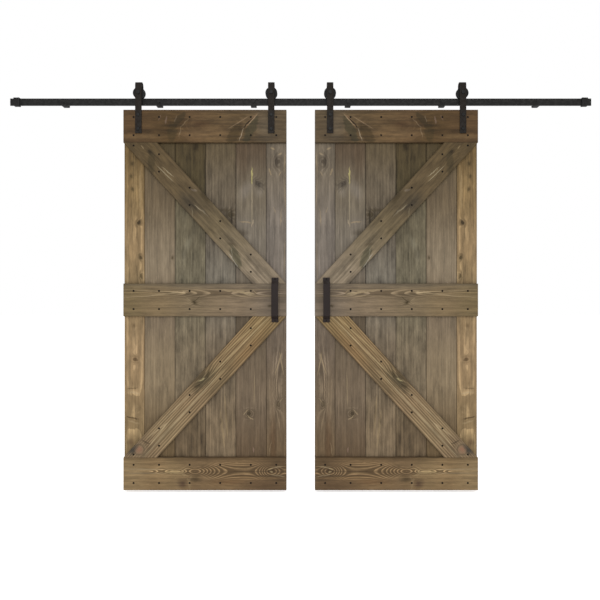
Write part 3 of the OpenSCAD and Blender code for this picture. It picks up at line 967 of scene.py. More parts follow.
    def drive(self, x: float, z: float, y: float, radius: float, depth: float, lobes: int) -> None:
        """Adds a screw's flat head end with a star-shaped drive recess, facing the room.

        Args:
            x: X of its axis.
            z: Z of its axis.
            y: Y of its face.
            radius: Radius of the face.
            depth: Depth of the recess.
            lobes: Number of points of the star.
        """
        turn = Matrix.Translation((x, y, z)) @ Matrix.Rotation(math.radians(90), 4, "X")
        made = bmesh.ops.create_circle(self.bm, cap_ends=True, segments=2 * lobes, radius=radius, matrix=turn)
        face = made["verts"][0].link_faces[0]
        if face.normal.y > 0:
            face.normal_flip()
        middle, inset, hollow = Vector((x, y, z)), radius * 0.45, 0.62
        bmesh.ops.inset_region(self.bm, faces=[face], thickness=inset, use_even_offset=True, use_boundary=True)
        for k, vert in enumerate(face.verts):
            vert.co = middle + (vert.co - middle) * (hollow if k % 2 else 1.0)
        pushed = bmesh.ops.extrude_discrete_faces(self.bm, faces=[face])["faces"][0]
        bmesh.ops.translate(self.bm, verts=list(pushed.verts), vec=(0.0, depth, 0.0))


@dataclass
class FlatBar:
    """A flat bar in the YZ plane that grows from one end, by straight and bent lengths."""

    shape: Shape
    x: float
    width: float
    back: Vector
    front: Vector
    heading: Vector
    face: bmesh.types.BMFace | None = None

    def __post_init__(self) -> None:
        """Lays the first end face, from the bar's back surface to its front one."""
        corners = [(s * self.width / 2 + self.x, p.y, p.z) for p, s in
                   ((self.back, -1), (self.back, 1), (self.front, 1), (self.front, -1))]
        self.face = self.shape.bm.faces.new([self.shape.bm.verts.new(c) for c in corners])

    def grow(self) -> list[bmesh.types.BMVert]:
        """Extrudes the end face where it is.

        Returns:
            The new end's corners, still to be moved.
        """
        made = bmesh.ops.extrude_face_region(self.shape.bm, geom=[self.face, *self.face.edges])["geom"]
        self.face = next(f for f in made if isinstance(f, bmesh.types.BMFace))
        return list(self.face.verts)

    def straight(self, length: float) -> None:
        """Adds a straight length.

        Args:
            length: The length.
        """
        step = self.heading * length
        bmesh.ops.translate(self.shape.bm, verts=self.grow(), vec=step)
        self.back, self.front = self.back + step, self.front + step

    def bend(self, degrees: float, radius: float, steps: int) -> None:
        """Bends the bar.

        Args:
            degrees: Angle, positive towards the bar's front surface.
            radius: Radius of the bend's inside.
            steps: Number of its facets.
        """
        near, far = (self.front, self.back) if degrees > 0 else (self.back, self.front)
        centre = near + (near - far).normalized() * radius
        cross = (self.front - self.back).cross(self.heading).x
        angle = -math.radians(degrees) * (1 if cross > 0 else -1)
        step = Matrix.Rotation(angle / steps, 3, "X")
        for _ in range(steps):
            bmesh.ops.rotate(self.shape.bm, verts=self.grow(), cent=centre, matrix=step)
        spin = Matrix.Rotation(angle, 3, "X")
        self.back, self.front = (centre + spin @ (p - centre) for p in (self.back, self.front))
        self.heading = spin @ self.heading


def publish(shape: Shape, name: str, body: str, finish: SteelFinish, replaces: str, smooth: float = 35.0) -> None:
    """Turns a finished shape into a piece of the object.

    Args:
        shape: Its mesh, which is used up.
        name: Name of the piece.
        body: Body that it moves with.
        finish: Its finish.
        replaces: CAD node that it stands for.
        smooth: Angle in degrees above which an edge stays sharp.
    """
    bm = shape.bm
    for face in bm.faces:
        face.smooth = True
    for edge in bm.edges:
        edge.smooth = edge.calc_face_angle(math.pi) < math.radians(smooth)
    mesh = bpy.data.meshes.new(name)
    bm.to_mesh(mesh)
    faces = len(bm.faces)
    bm.free()
    mesh.materials.append(finish.material())
    made = bpy.data.objects.new(name, mesh)
    bpy.context.scene.collection.objects.link(made)
    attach(made, body)
    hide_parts(replaces)
    LOG.info("%s: %d faces, rides on %s", name, faces, body)


def dress(frame: dict, node: str, material: bpy.types.Material) -> None:
    """Gives a carried-over CAD node its material.

    Args:
        node: Name of the node.
        material: The material.
    """
    made = frame["nodes"][node]
    if not made.material_slots:
        made.data.materials.append(material)
    for place in made.material_slots:
        place.material = material
    LOG.info("%s: dressed in %s", node, material.name)


# ---------------------------------------------------------------- the boards' finishes

KNOT, PATCH, SMUDGE, SWIRL = Mark.KNOT, Mark.PATCH, Mark.SMUDGE, Mark.SWIRL
CREAM, STRAW, ASH = (0.39, 0.295, 0.175), (0.32, 0.235, 0.13), (0.23, 0.195, 0.158)
DARK, SOOT, OLIVE = (0.06, 0.046, 0.026), (0.04, 0.031, 0.021), (0.07, 0.064, 0.04)

PLANKS: tuple[WoodFinish, ...] = (
    WoodFinish("plank_1_wood", (
        (0.28, (0.165, 0.134, 0.098)), (0.71, (0.195, 0.165, 0.136)), (1.01, (0.21, 0.176, 0.146)),
        (1.3, (0.17, 0.13, 0.094)), (1.6, (0.176, 0.131, 0.087)), (1.95, (0.153, 0.106, 0.063))), (
        Feature(KNOT, 0.289, -0.004, 0.044, 0.026, depth=0.8, rise=2.5, shows=0.5, tint=(0.07, 0.056, 0.042)),
        Feature(PATCH, 0.215, 0.02, 0.006, 0.014, 0.3, depth=0.45, tint=CREAM),
        Feature(PATCH, 0.243, -0.02, 0.005, 0.012, -0.4, depth=0.4, tint=CREAM),
        Feature(PATCH, 0.3, -0.046, 0.06, 0.0026, 0.04, depth=0.5, tint=CREAM),
        Feature(PATCH, 0.47, -0.048, 0.09, 0.0026, -0.03, depth=0.45, tint=CREAM),
        Feature(PATCH, 0.85, -0.045, 0.12, 0.0028, 0.02, depth=0.35, tint=CREAM),
        Feature(PATCH, 0.345, 0.036, 0.02, 0.0045, -0.3, depth=0.5, tint=CREAM),
        Feature(PATCH, 0.355, -0.018, 0.016, 0.003, 0.5, depth=0.45, tint=CREAM),
        Feature(PATCH, 0.6, -0.026, 0.05, 0.003, 0.05, depth=0.4, tint=CREAM),
        Feature(PATCH, 0.56, 0.01, 0.02, 0.003, -0.4, depth=0.35, tint=CREAM),
        Feature(PATCH, 1.43, -0.01, 0.07, 0.0032, 0.28, depth=0.6, tint=CREAM),
        Feature(PATCH, 1.43, -0.03, 0.07, 0.0032, -0.2, depth=0.55, tint=CREAM),
        Feature(PATCH, 1.64, -0.02, 0.026, 0.003, 0.7, depth=0.5, tint=CREAM),
        Feature(SWIRL, 1.55, -0.012, 0.2, 0.03, rise=2.6, shows=0.7),
        Feature(KNOT, 1.655, -0.008, 0.022, 0.014, rise=2.0, depth=0.5, tint=DARK),
        Feature(PATCH, 1.9, 0.034, 0.05, 0.0025, 0.15, depth=0.5, tint=CREAM),
        Feature(SMUDGE, 1.87, 0.02, 0.16, 0.02, depth=0.5, tint=(0.12, 0.065, 0.035))),
        seed=11.3, pith_across=0.03, streak=0.65, blotch=0.55),
    WoodFinish("plank_2_wood", (
        (0.2, (0.115, 0.083, 0.055)), (0.45, (0.162, 0.132, 0.094)), (0.75, (0.184, 0.156, 0.122)),
        (1.2, (0.13, 0.1, 0.068)), (1.6, (0.182, 0.136, 0.092)), (1.95, (0.142, 0.099, 0.062))), (
        Feature(KNOT, 0.414, -0.043, 0.04, 0.022, -0.8, rise=3.0, depth=0.75, shows=0.7, tint=(0.06, 0.05, 0.042)),
        Feature(SMUDGE, 0.45, 0.03, 0.06, 0.035, 0.5, depth=0.7, tint=ASH),
        Feature(PATCH, 0.3675, -0.004, 0.052, 0.0046, depth=0.85, tint=(0.4, 0.35, 0.15)),
        Feature(PATCH, 0.53, -0.005, 0.13, 0.0034, depth=0.75, tint=(0.35, 0.29, 0.2)),
        Feature(SMUDGE, 0.46, -0.045, 0.03, 0.026, depth=0.5, tint=ASH),
        Feature(SMUDGE, 0.64, 0.03, 0.03, 0.05, 0.3, depth=0.5, tint=ASH),
        Feature(PATCH, 0.635, -0.008, 0.022, 0.004, 0.25, depth=0.75, tint=(0.36, 0.29, 0.2)),
        Feature(PATCH, 0.628, 0.03, 0.0045, 0.034, 0.1, depth=0.5, tint=CREAM),
        Feature(SMUDGE, 0.69, 0.055, 0.02, 0.04, depth=0.5, tint=DARK),
        Feature(SMUDGE, 0.28, 0.045, 0.14, 0.035, depth=0.5, tint=(0.09, 0.062, 0.04)),
        Feature(KNOT, 1.707, 0.012, 0.026, 0.026, rise=3.4, depth=0.6, shows=0.9, tint=DARK),
        Feature(PATCH, 1.73, 0.005, 0.022, 0.0028, -0.9, depth=0.75, tint=CREAM),
        Feature(PATCH, 1.7, 0.03, 0.022, 0.0028, 0.7, depth=0.65, tint=CREAM),
        Feature(PATCH, 1.57, -0.018, 0.1, 0.0028, 0.02, depth=0.5, tint=CREAM),
        Feature(PATCH, 1.912, -0.013, 0.016, 0.004, depth=0.6, tint=(0.3, 0.2, 0.15))),
        seed=23.9, pith_across=0.01),
    WoodFinish("plank_3_wood", (
        (0.2, (0.122, 0.093, 0.057)), (0.45, (0.138, 0.11, 0.077)), (0.62, (0.122, 0.099, 0.072)),
        (0.95, (0.179, 0.156, 0.122)), (1.4, (0.18, 0.139, 0.094)), (1.85, (0.202, 0.149, 0.094))), (
        Feature(KNOT, 0.586, -0.058, 0.03, 0.032, 0.3, rise=2.5, depth=0.75, shows=0.6, tint=DARK),
        Feature(SMUDGE, 0.56, -0.03, 0.012, 0.05, depth=0.5, tint=DARK),
        Feature(SMUDGE, 0.62, -0.04, 0.01, 0.05, 0.2, depth=0.4, tint=DARK),
        Feature(PATCH, 1.72, -0.03, 0.13, 0.005, -0.07, depth=0.45, tint=STRAW),
        Feature(PATCH, 1.8, -0.01, 0.12, 0.006, -0.12, depth=0.45, tint=STRAW),
        Feature(SMUDGE, 1.55, 0.03, 0.2, 0.03, depth=0.35, tint=(0.1, 0.075, 0.05))),
        seed=37.1, pith_across=-0.02, streak=0.85, blotch=0.8),
    WoodFinish("plank_4_wood", (
        (0.2, (0.074, 0.056, 0.032)), (0.42, (0.08, 0.063, 0.036)), (0.6, (0.132, 0.111, 0.073)),
        (0.95, (0.163, 0.14, 0.095)), (1.45, (0.187, 0.146, 0.096)), (1.9, (0.148, 0.107, 0.066))), (
        Feature(KNOT, 0.204, -0.029, 0.028, 0.016, rise=2.0, depth=0.7, tint=SOOT),
        Feature(SMUDGE, 0.75, 0.012, 0.05, 0.02, 0.3, depth=0.4, tint=(0.22, 0.2, 0.145)),
        Feature(SMUDGE, 0.82, 0.036, 0.03, 0.012, depth=0.4, tint=(0.24, 0.21, 0.15)),
        Feature(SMUDGE, 0.55, -0.06, 0.07, 0.02, depth=0.6, tint=OLIVE),
        Feature(SMUDGE, 1.74, 0.0, 0.09, 0.06, depth=0.5, tint=(0.09, 0.066, 0.04))),
        seed=41.7, pith_across=0.03, streak=0.85, blotch=0.95),
    # The dark tones at the top of plank 5 are painted shadow of the upper brace and top rail, laid over the plank's
    # stain.
    WoodFinish("plank_5_wood", (
        (0.2, (0.09, 0.068, 0.038)), (0.45, (0.15, 0.112, 0.07)), (0.85, (0.226, 0.177, 0.12)),
        (1.15, (0.205, 0.156, 0.105)), (1.45, (0.25, 0.19, 0.12)), (1.9, (0.155, 0.108, 0.06))), (
        Feature(KNOT, 0.828, -0.072, 0.014, 0.01, rise=0.8, depth=0.7, tint=DARK),
        Feature(SMUDGE, 1.12, -0.02, 0.1, 0.04, depth=0.3, tint=(0.13, 0.1, 0.07)),
        Feature(SMUDGE, 1.16, 0.062, 0.09, 0.014, depth=0.4, tint=(0.12, 0.1, 0.07)),
        Feature(PATCH, 1.79, -0.06, 0.05, 0.004, 0.1, depth=0.5, tint=STRAW)),
        seed=53.3, pith_across=-0.03),
    # The darker tone of plank 6 at 1.0 m is painted shade beside the middle rail.
    WoodFinish("plank_6_wood", (
        (0.25, (0.155, 0.104, 0.05)), (0.45, (0.225, 0.152, 0.074)), (0.75, (0.3, 0.206, 0.11)),
        (1.0, (0.26, 0.185, 0.1)), (1.35, (0.345, 0.237, 0.13)), (1.95, (0.262, 0.184, 0.096))), (
        Feature(SMUDGE, 0.255, -0.012, 0.03, 0.02, depth=0.55, tint=DARK),
        Feature(PATCH, 0.45, -0.032, 0.13, 0.008, depth=0.45, tint=(0.36, 0.26, 0.14)),
        Feature(KNOT, 0.297, 0.012, 0.014, 0.011, depth=0.7, tint=DARK),
        Feature(KNOT, 0.369, 0.018, 0.018, 0.012, depth=0.75, tint=DARK),
        Feature(KNOT, 0.441, 0.012, 0.014, 0.01, depth=0.7, tint=DARK),
        Feature(KNOT, 0.631, -0.026, 0.022, 0.016, 0.6, rise=1.5, depth=0.9, shows=0.3, tint=SOOT),
        Feature(KNOT, 0.826, -0.034, 0.022, 0.012, -0.4, rise=1.5, depth=0.8, tint=DARK),
        Feature(KNOT, 0.932, -0.038, 0.028, 0.012, rise=1.5, depth=0.75, tint=DARK),
        Feature(SMUDGE, 1.21, 0.0, 0.014, 0.016, depth=0.5, tint=(0.14, 0.09, 0.045)),
        Feature(KNOT, 1.402, -0.004, 0.018, 0.022, 0.3, rise=1.5, depth=0.7, tint=(0.09, 0.055, 0.03)),
        Feature(PATCH, 1.59, 0.0, 0.005, 0.036, 0.15, depth=0.6, tint=(0.45, 0.34, 0.2)),
        Feature(PATCH, 1.565, 0.012, 0.004, 0.03, -0.1, depth=0.5, tint=(0.13, 0.085, 0.045)),
        Feature(PATCH, 1.732, 0.012, 0.005, 0.034, 0.2, depth=0.8, tint=(0.1, 0.065, 0.035)),
        Feature(PATCH, 1.755, 0.006, 0.006, 0.034, 0.25, depth=0.5, tint=(0.43, 0.32, 0.18)),
        Feature(SMUDGE, 1.87, 0.02, 0.02, 0.02, depth=0.6, tint=(0.13, 0.08, 0.05)),
        Feature(SWIRL, 1.7, 0.0, 0.14, 0.04, rise=2.0, shows=0.5)),
        seed=67.9, pith_across=0.0, line_shows=0.45, blotch=0.75, streak=0.7),
)

TOP_RAIL = WoodFinish("top_rail_wood", (
    (0.06, (0.105, 0.077, 0.048)), (0.29, (0.108, 0.073, 0.04)), (0.42, (0.121, 0.079, 0.042)),
    (0.52, (0.11, 0.07, 0.038)), (0.64, (0.09, 0.058, 0.03)), (0.88, (0.096, 0.06, 0.033))), (
    Feature(SWIRL, 0.22, 0.0, 0.09, 0.07, -0.9, rise=3.0, shows=0.2),
    Feature(SWIRL, 0.6, -0.02, 0.07, 0.07, rise=3.0, shows=0.25),
    Feature(SMUDGE, 0.46, -0.047, 0.15, 0.034, depth=0.8, tint=(0.175, 0.112, 0.058)),
    Feature(SMUDGE, 0.8, -0.058, 0.13, 0.017, depth=0.7, tint=(0.165, 0.108, 0.055)),
    Feature(SMUDGE, 0.12, 0.0, 0.06, 0.08, depth=0.6, tint=(0.15, 0.118, 0.08)),
    Feature(SMUDGE, 0.475, 0.011, 0.055, 0.02, depth=0.7, tint=(0.075, 0.045, 0.026)),
    Feature(PATCH, 0.294, -0.046, 0.066, 0.03, -1.01, depth=0.75, tint=(0.072, 0.051, 0.028)),
    Feature(PATCH, 0.2, -0.02, 0.085, 0.026, -1.12, depth=0.8, tint=(0.064, 0.055, 0.034)),
    Feature(PATCH, 0.2, 0.032, 0.05, 0.0085, -0.84, depth=0.85, tint=(0.19, 0.12, 0.07)),
    Feature(PATCH, 0.216, 0.018, 0.045, 0.004, -0.84, depth=0.9, tint=(0.028, 0.023, 0.016)),
    Feature(PATCH, 0.19, 0.036, 0.049, 0.0024, -0.84, depth=0.7, tint=(0.3, 0.225, 0.14)),
    Feature(PATCH, 0.2513, -0.044, 0.04, 0.0026, -1.24, depth=0.8, tint=(0.32, 0.25, 0.17)),
    Feature(PATCH, 0.269, 0.02, 0.07, 0.003, -0.55, depth=0.65, tint=(0.24, 0.165, 0.1)),
    Feature(PATCH, 0.597, 0.042, 0.046, 0.018, -0.85, depth=0.75, tint=(0.062, 0.046, 0.027)),
    Feature(PATCH, 0.64, -0.036, 0.028, 0.06, 0.1, depth=0.7, tint=(0.066, 0.048, 0.026)),
    Feature(PATCH, 0.57, 0.02, 0.036, 0.0026, -0.78, depth=0.7, tint=(0.23, 0.16, 0.095)),
    Feature(PATCH, 0.597, -0.035, 0.0028, 0.034, 0.15, depth=0.7, tint=(0.22, 0.155, 0.09)),
    Feature(PATCH, 0.622, 0.04, 0.0026, 0.02, 0.3, depth=0.5, tint=(0.2, 0.15, 0.1)),
    Feature(PATCH, 0.675, 0.034, 0.005, 0.022, 0.25, depth=0.6, tint=(0.2, 0.135, 0.1)),
    Feature(PATCH, 0.712, 0.046, 0.004, 0.016, 0.4, depth=0.5, tint=(0.19, 0.125, 0.09))),
    pith_across=0.0, pith_depth=0.05, ring_gap=0.013, seed=3.7, line_gain=1.6, line_shows=0.22, blotch=0.8,
    streak=0.7)

MIDDLE_RAIL = WoodFinish("middle_rail_wood", (
    (0.05, (0.185, 0.145, 0.107)), (0.29, (0.222, 0.165, 0.108)), (0.42, (0.205, 0.152, 0.096)),
    (0.52, (0.192, 0.144, 0.089)), (0.74, (0.207, 0.149, 0.084)), (0.9, (0.184, 0.136, 0.072))), (
    Feature(SWIRL, 0.48, 0.036, 0.7, 0.019, shows=0.95),
    Feature(SMUDGE, 0.4, 0.036, 0.7, 0.026, depth=0.35, tint=(0.13, 0.09, 0.052)),
    Feature(PATCH, 0.225, 0.0395, 0.05, 0.0075, 0.117, depth=0.85, tint=(0.43, 0.33, 0.2)),
    Feature(PATCH, 0.295, 0.048, 0.07, 0.0035, 0.12, depth=0.8, tint=CREAM),
    Feature(PATCH, 0.272, 0.0535, 0.09, 0.0022, 0.02, depth=0.7, tint=CREAM),
    Feature(PATCH, 0.178, 0.048, 0.016, 0.0025, 0.9, depth=0.6, tint=CREAM),
    Feature(PATCH, 0.6, 0.0425, 0.05, 0.0055, -0.03, depth=0.85, tint=(0.43, 0.33, 0.2)),
    Feature(PATCH, 0.7, 0.0485, 0.15, 0.0028, 0.035, depth=0.75, tint=CREAM),
    Feature(PATCH, 0.69, 0.032, 0.12, 0.0036, -0.105, depth=0.75, tint=CREAM),
    Feature(PATCH, 0.84, 0.0185, 0.09, 0.002, -0.04, depth=0.6, tint=CREAM),
    Feature(PATCH, 0.26, 0.0595, 0.27, 0.0018, depth=0.55, tint=CREAM),
    Feature(PATCH, 0.19, 0.0225, 0.21, 0.002, depth=0.7, tint=CREAM),
    Feature(PATCH, 0.19, 0.019, 0.2, 0.0014, depth=0.5, tint=DARK),
    Feature(PATCH, 0.88, 0.057, 0.05, 0.0018, depth=0.5, tint=CREAM),
    Feature(SMUDGE, 0.45, 0.084, 0.8, 0.024, depth=0.6, tint=(0.13, 0.108, 0.078)),
    Feature(SWIRL, 0.516, -0.013, 0.036, 0.024, rise=1.8, shows=0.3),
    Feature(KNOT, 0.516, -0.013, 0.02, 0.012, 0.6, depth=0.9, tint=DARK),
    Feature(PATCH, 0.5, 0.006, 0.02, 0.0028, -0.7, depth=0.6, tint=DARK),
    Feature(PATCH, 0.545, 0.0, 0.018, 0.002, 0.7, depth=0.45, tint=CREAM),
    Feature(KNOT, 0.092, -0.033, 0.014, 0.01, depth=0.7, tint=DARK)),
    rises=(Rise(0.37, 0.2, 0.03),), pith_across=0.037, pith_depth=0.004, ring_gap=0.0082, wander=0.35, seed=8.1,
    line_gain=2.2, line_shows=0.15)

BOTTOM_RAIL = WoodFinish("bottom_rail_wood", (
    (0.06, (0.158, 0.104, 0.058)), (0.29, (0.212, 0.139, 0.074)), (0.5, (0.192, 0.128, 0.07)),
    (0.63, (0.226, 0.155, 0.082)), (0.74, (0.242, 0.163, 0.085)), (0.88, (0.258, 0.18, 0.096))), (
    Feature(SWIRL, 0.3, 0.0145, 0.34, 0.03, shows=1.7),
    Feature(SWIRL, 0.7, 0.014, 0.3, 0.022, shows=0.6),
    Feature(SMUDGE, 0.4, 0.0145, 0.2, 0.03, depth=0.3, tint=(0.12, 0.075, 0.038)),
    Feature(PATCH, 0.63, 0.011, 0.055, 0.0105, 0.02, depth=0.95, tint=(0.47, 0.34, 0.175)),
    Feature(SMUDGE, 0.13, -0.06, 0.15, 0.032, depth=0.5, tint=(0.12, 0.075, 0.045)),
    Feature(SMUDGE, 0.33, -0.045, 0.1, 0.018, depth=0.45, tint=(0.21, 0.115, 0.055)),
    Feature(SMUDGE, 0.05, 0.06, 0.1, 0.03, depth=0.45, tint=(0.12, 0.08, 0.045)),
    Feature(PATCH, 0.578, 0.02, 0.028, 0.005, -0.5, depth=0.8, tint=(0.42, 0.3, 0.16)),
    Feature(PATCH, 0.576, -0.004, 0.03, 0.005, 0.45, depth=0.8, tint=(0.42, 0.3, 0.16)),
    Feature(PATCH, 0.79, 0.026, 0.14, 0.0035, 0.01, depth=0.75, tint=CREAM),
    Feature(PATCH, 0.8, 0.004, 0.12, 0.003, 0.0, depth=0.65, tint=CREAM),
    Feature(PATCH, 0.54, -0.03, 0.006, 0.026, 0.3, depth=0.4, tint=STRAW),
    Feature(PATCH, 0.545, -0.06, 0.006, 0.04, -0.25, depth=0.4, tint=STRAW),
    Feature(PATCH, 0.18, -0.02, 0.16, 0.0022, 0.03, depth=0.5, tint=(0.28, 0.17, 0.08)),
    Feature(PATCH, 0.2, -0.033, 0.15, 0.002, -0.03, depth=0.4, tint=(0.28, 0.17, 0.08)),
    Feature(KNOT, 0.086, 0.019, 0.022, 0.014, depth=0.7, tint=(0.1, 0.06, 0.035)),
    Feature(PATCH, 0.09, 0.028, 0.014, 0.004, -0.2, depth=0.9, tint=(0.5, 0.37, 0.2)),
    Feature(PATCH, 0.084, 0.01, 0.009, 0.005, 0.5, depth=0.9, tint=(0.5, 0.37, 0.2)),
    Feature(PATCH, 0.052, 0.038, 0.036, 0.0035, -0.15, depth=0.7, tint=CREAM),
    Feature(PATCH, 0.05, -0.01, 0.04, 0.0035, 0.2, depth=0.7, tint=CREAM),
    Feature(SMUDGE, 0.51, -0.028, 0.03, 0.022, depth=0.55, tint=DARK),
    Feature(SMUDGE, 0.582, -0.056, 0.03, 0.026, depth=0.7, tint=(0.06, 0.035, 0.03)),
    Feature(SMUDGE, 0.45, 0.086, 0.8, 0.014, depth=0.5, tint=(0.1, 0.066, 0.036))),
    rises=(Rise(0.7, 0.04, 0.012), Rise(0.555, 0.03, 0.014), Rise(0.197, 0.265, 0.058, 4.0),
           Rise(0.0875, 0.06, -0.034)),
    pith_across=0.0145, pith_depth=0.003, ring_gap=0.0064, wander=0.3, seed=14.9, line_gain=2.3, line_shows=0.25,
    valley=0.34)

UPPER_BRACE = WoodFinish("upper_brace_wood", (
    (0.05, (0.11, 0.078, 0.042)), (0.34, (0.124, 0.09, 0.051)), (0.48, (0.12, 0.091, 0.055)),
    (0.62, (0.154, 0.118, 0.07)), (0.76, (0.182, 0.143, 0.092)), (1.0, (0.24, 0.19, 0.133))), (
    Feature(SWIRL, 0.1, 0.02, 0.08, 0.06, rise=3.0, shows=0.2),
    Feature(PATCH, 0.125, 0.03, 0.075, 0.022, 0.74, depth=0.6, tint=(0.06, 0.048, 0.029)),
    Feature(KNOT, 0.0715, -0.003, 0.016, 0.013, depth=0.85, tint=SOOT),
    Feature(PATCH, 0.028, 0.008, 0.014, 0.003, depth=0.6, tint=STRAW),
    Feature(PATCH, 0.222, 0.0154, 0.07, 0.0028, -0.06, depth=0.85, tint=(0.3, 0.245, 0.155)),
    Feature(PATCH, 0.226, -0.0025, 0.044, 0.0028, -0.09, depth=0.85, tint=(0.3, 0.245, 0.155)),
    Feature(PATCH, 0.196, 0.004, 0.02, 0.002, 0.35, depth=0.5, tint=STRAW),
    Feature(SMUDGE, 0.43, 0.034, 0.075, 0.045, depth=0.85, tint=(0.068, 0.056, 0.04)),
    Feature(PATCH, 0.4, -0.042, 0.02, 0.007, -0.6, depth=0.55, tint=(0.22, 0.175, 0.13)),
    Feature(SMUDGE, 0.465, -0.056, 0.05, 0.016, depth=0.7, tint=DARK),
    Feature(PATCH, 0.505, 0.006, 0.045, 0.0035, -0.17, depth=0.75, tint=(0.29, 0.24, 0.16)),
    Feature(PATCH, 0.535, -0.002, 0.028, 0.002, 0.1, depth=0.6, tint=(0.26, 0.21, 0.14)),
    Feature(PATCH, 0.486, 0.05, 0.03, 0.003, 0.7, depth=0.55, tint=(0.21, 0.17, 0.11)),
    Feature(SMUDGE, 0.77, 0.006, 0.026, 0.009, -0.8, depth=0.55, tint=(0.09, 0.068, 0.043)),
    Feature(PATCH, 0.8365, 0.04, 0.07, 0.026, 0.35, depth=0.8, tint=(0.1, 0.09, 0.058)),
    Feature(PATCH, 0.84, 0.062, 0.05, 0.003, 0.14, depth=0.7, tint=(0.3, 0.27, 0.22)),
    Feature(PATCH, 0.8, 0.038, 0.03, 0.0022, 0.6, depth=0.55, tint=(0.26, 0.23, 0.17)),
    Feature(SWIRL, 0.95, 0.0, 0.16, 0.06, shows=0.35)),
    pith_across=-0.05, pith_depth=0.06, ring_gap=0.012, wander=1.0, seed=19.3, line_gain=1.6, line_shows=0.18,
    blotch=0.8,
    streak=0.7)

LOWER_BRACE = WoodFinish("lower_brace_wood", (
    (0.05, (0.236, 0.164, 0.095)), (0.2, (0.256, 0.183, 0.103)), (0.45, (0.228, 0.158, 0.09)),
    (0.6, (0.198, 0.14, 0.078)), (0.85, (0.224, 0.151, 0.08)), (1.02, (0.222, 0.152, 0.076))), (
    Feature(SMUDGE, 0.06, -0.03, 0.07, 0.05, depth=0.35, tint=(0.14, 0.1, 0.065)),
    Feature(PATCH, 0.03, -0.033, 0.04, 0.038, depth=0.6, tint=(0.34, 0.25, 0.15)),
    Feature(PATCH, 0.028, -0.035, 0.033, 0.031, depth=0.7, tint=(0.11, 0.078, 0.048)),
    Feature(PATCH, 0.028, -0.035, 0.027, 0.025, depth=0.9, tint=(0.34, 0.23, 0.14)),
    Feature(KNOT, 0.028, -0.035, 0.018, 0.016, depth=0.8, tint=(0.37, 0.2, 0.125)),
    Feature(PATCH, 0.085, -0.034, 0.004, 0.026, -0.3, depth=0.6, tint=(0.08, 0.058, 0.038)),
    Feature(SMUDGE, 0.002, -0.062, 0.04, 0.02, depth=0.8, tint=(0.055, 0.057, 0.053)),
    Feature(PATCH, 0.172, -0.0129, 0.1, 0.0036, -0.068, depth=0.9, tint=(0.44, 0.34, 0.2)),
    Feature(PATCH, 0.186, -0.031, 0.08, 0.0036, 0.19, depth=0.85, tint=(0.42, 0.32, 0.19)),
    Feature(PATCH, 0.365, -0.038, 0.12, 0.0036, 0.058, depth=0.85, tint=(0.42, 0.32, 0.19)),
    Feature(PATCH, 0.34, 0.012, 0.34, 0.004, 0.0, depth=0.9, tint=(0.44, 0.34, 0.2)),
    Feature(PATCH, 0.84, 0.016, 0.26, 0.003, 0.0, depth=0.6, tint=(0.4, 0.29, 0.15)),
    Feature(PATCH, 0.815, -0.01, 0.32, 0.0042, 0.045, depth=0.9, tint=(0.44, 0.33, 0.18)),
    Feature(PATCH, 0.912, -0.0325, 0.2, 0.0036, 0.09, depth=0.85, tint=(0.42, 0.31, 0.16)),
    Feature(SWIRL, 0.57, -0.034, 0.07, 0.03, rise=2.0, shows=0.2),
    Feature(SMUDGE, 0.556, -0.034, 0.1, 0.04, 0.08, depth=0.9, tint=(0.08, 0.066, 0.042)),
    Feature(PATCH, 0.512, -0.036, 0.02, 0.011, 0.5, depth=0.4, tint=SOOT),
    Feature(PATCH, 0.6, -0.034, 0.022, 0.008, -0.4, depth=0.45, tint=DARK),
    Feature(PATCH, 0.554, -0.04, 0.02, 0.005, 0.4, depth=0.9, tint=(0.36, 0.3, 0.16)),
    Feature(SMUDGE, 0.86, 0.04, 0.14, 0.03, depth=0.3, tint=(0.27, 0.15, 0.06))),
    pith_across=0.12, pith_depth=0.05, ring_gap=0.0115, wander=0.4, seed=29.1, line_gain=2.05, line_shows=0.7,
    valley=0.22, gain=0.635)

BLACK_STEEL = SteelFinish("black_powder_coat", "black_steel", (0.0085, 0.0082, 0.0078), roughness=0.6)
STRAP_STEEL = SteelFinish("warm_powder_coat", "black_steel", (0.0092, 0.0066, 0.0048), roughness=0.6)
BLACK_BOLT = SteelFinish("black_oxide", "black_bolt", (0.0075, 0.0073, 0.007), roughness=0.5, wear=0.3, specular=0.14)
WHEEL_STEEL = SteelFinish("rubbed_black", "wheel_steel", (0.008, 0.0078, 0.0075), roughness=0.55, wear=0.35)
PULL_STEEL = SteelFinish("bronze_black", "pull_steel", (0.0165, 0.0118, 0.0106), worn=(0.06, 0.045, 0.035),
                         roughness=0.5)
WOOD_SCREW = SteelFinish("dull_bronze", "wood_screw", (0.006, 0.0045, 0.0035), worn=(0.03, 0.022, 0.015),
                         roughness=0.6, specular=0.06)
BEARING_STEEL = SteelFinish("ground_steel", "bearing_steel", (0.42, 0.42, 0.43), worn=(0.6, 0.6, 0.6),
                            roughness=0.28, wear=0.3, metallic=1.0, specular=0.5)
BUSH_STEEL = SteelFinish("turned_steel", "bush_steel", (0.3, 0.3, 0.31), worn=(0.5, 0.5, 0.5), roughness=0.35,
                         wear=0.3, metallic=1.0, specular=0.5)
RUBBER = SteelFinish("matte_rubber", "bumper_rubber", (0.009, 0.009, 0.009), worn=(0.05, 0.05, 0.05),
                     roughness=0.8, wear=0.25, dust=0.3, grain=0.8, specular=0.2)


# ---------------------------------------------------------------- sub-assemblies


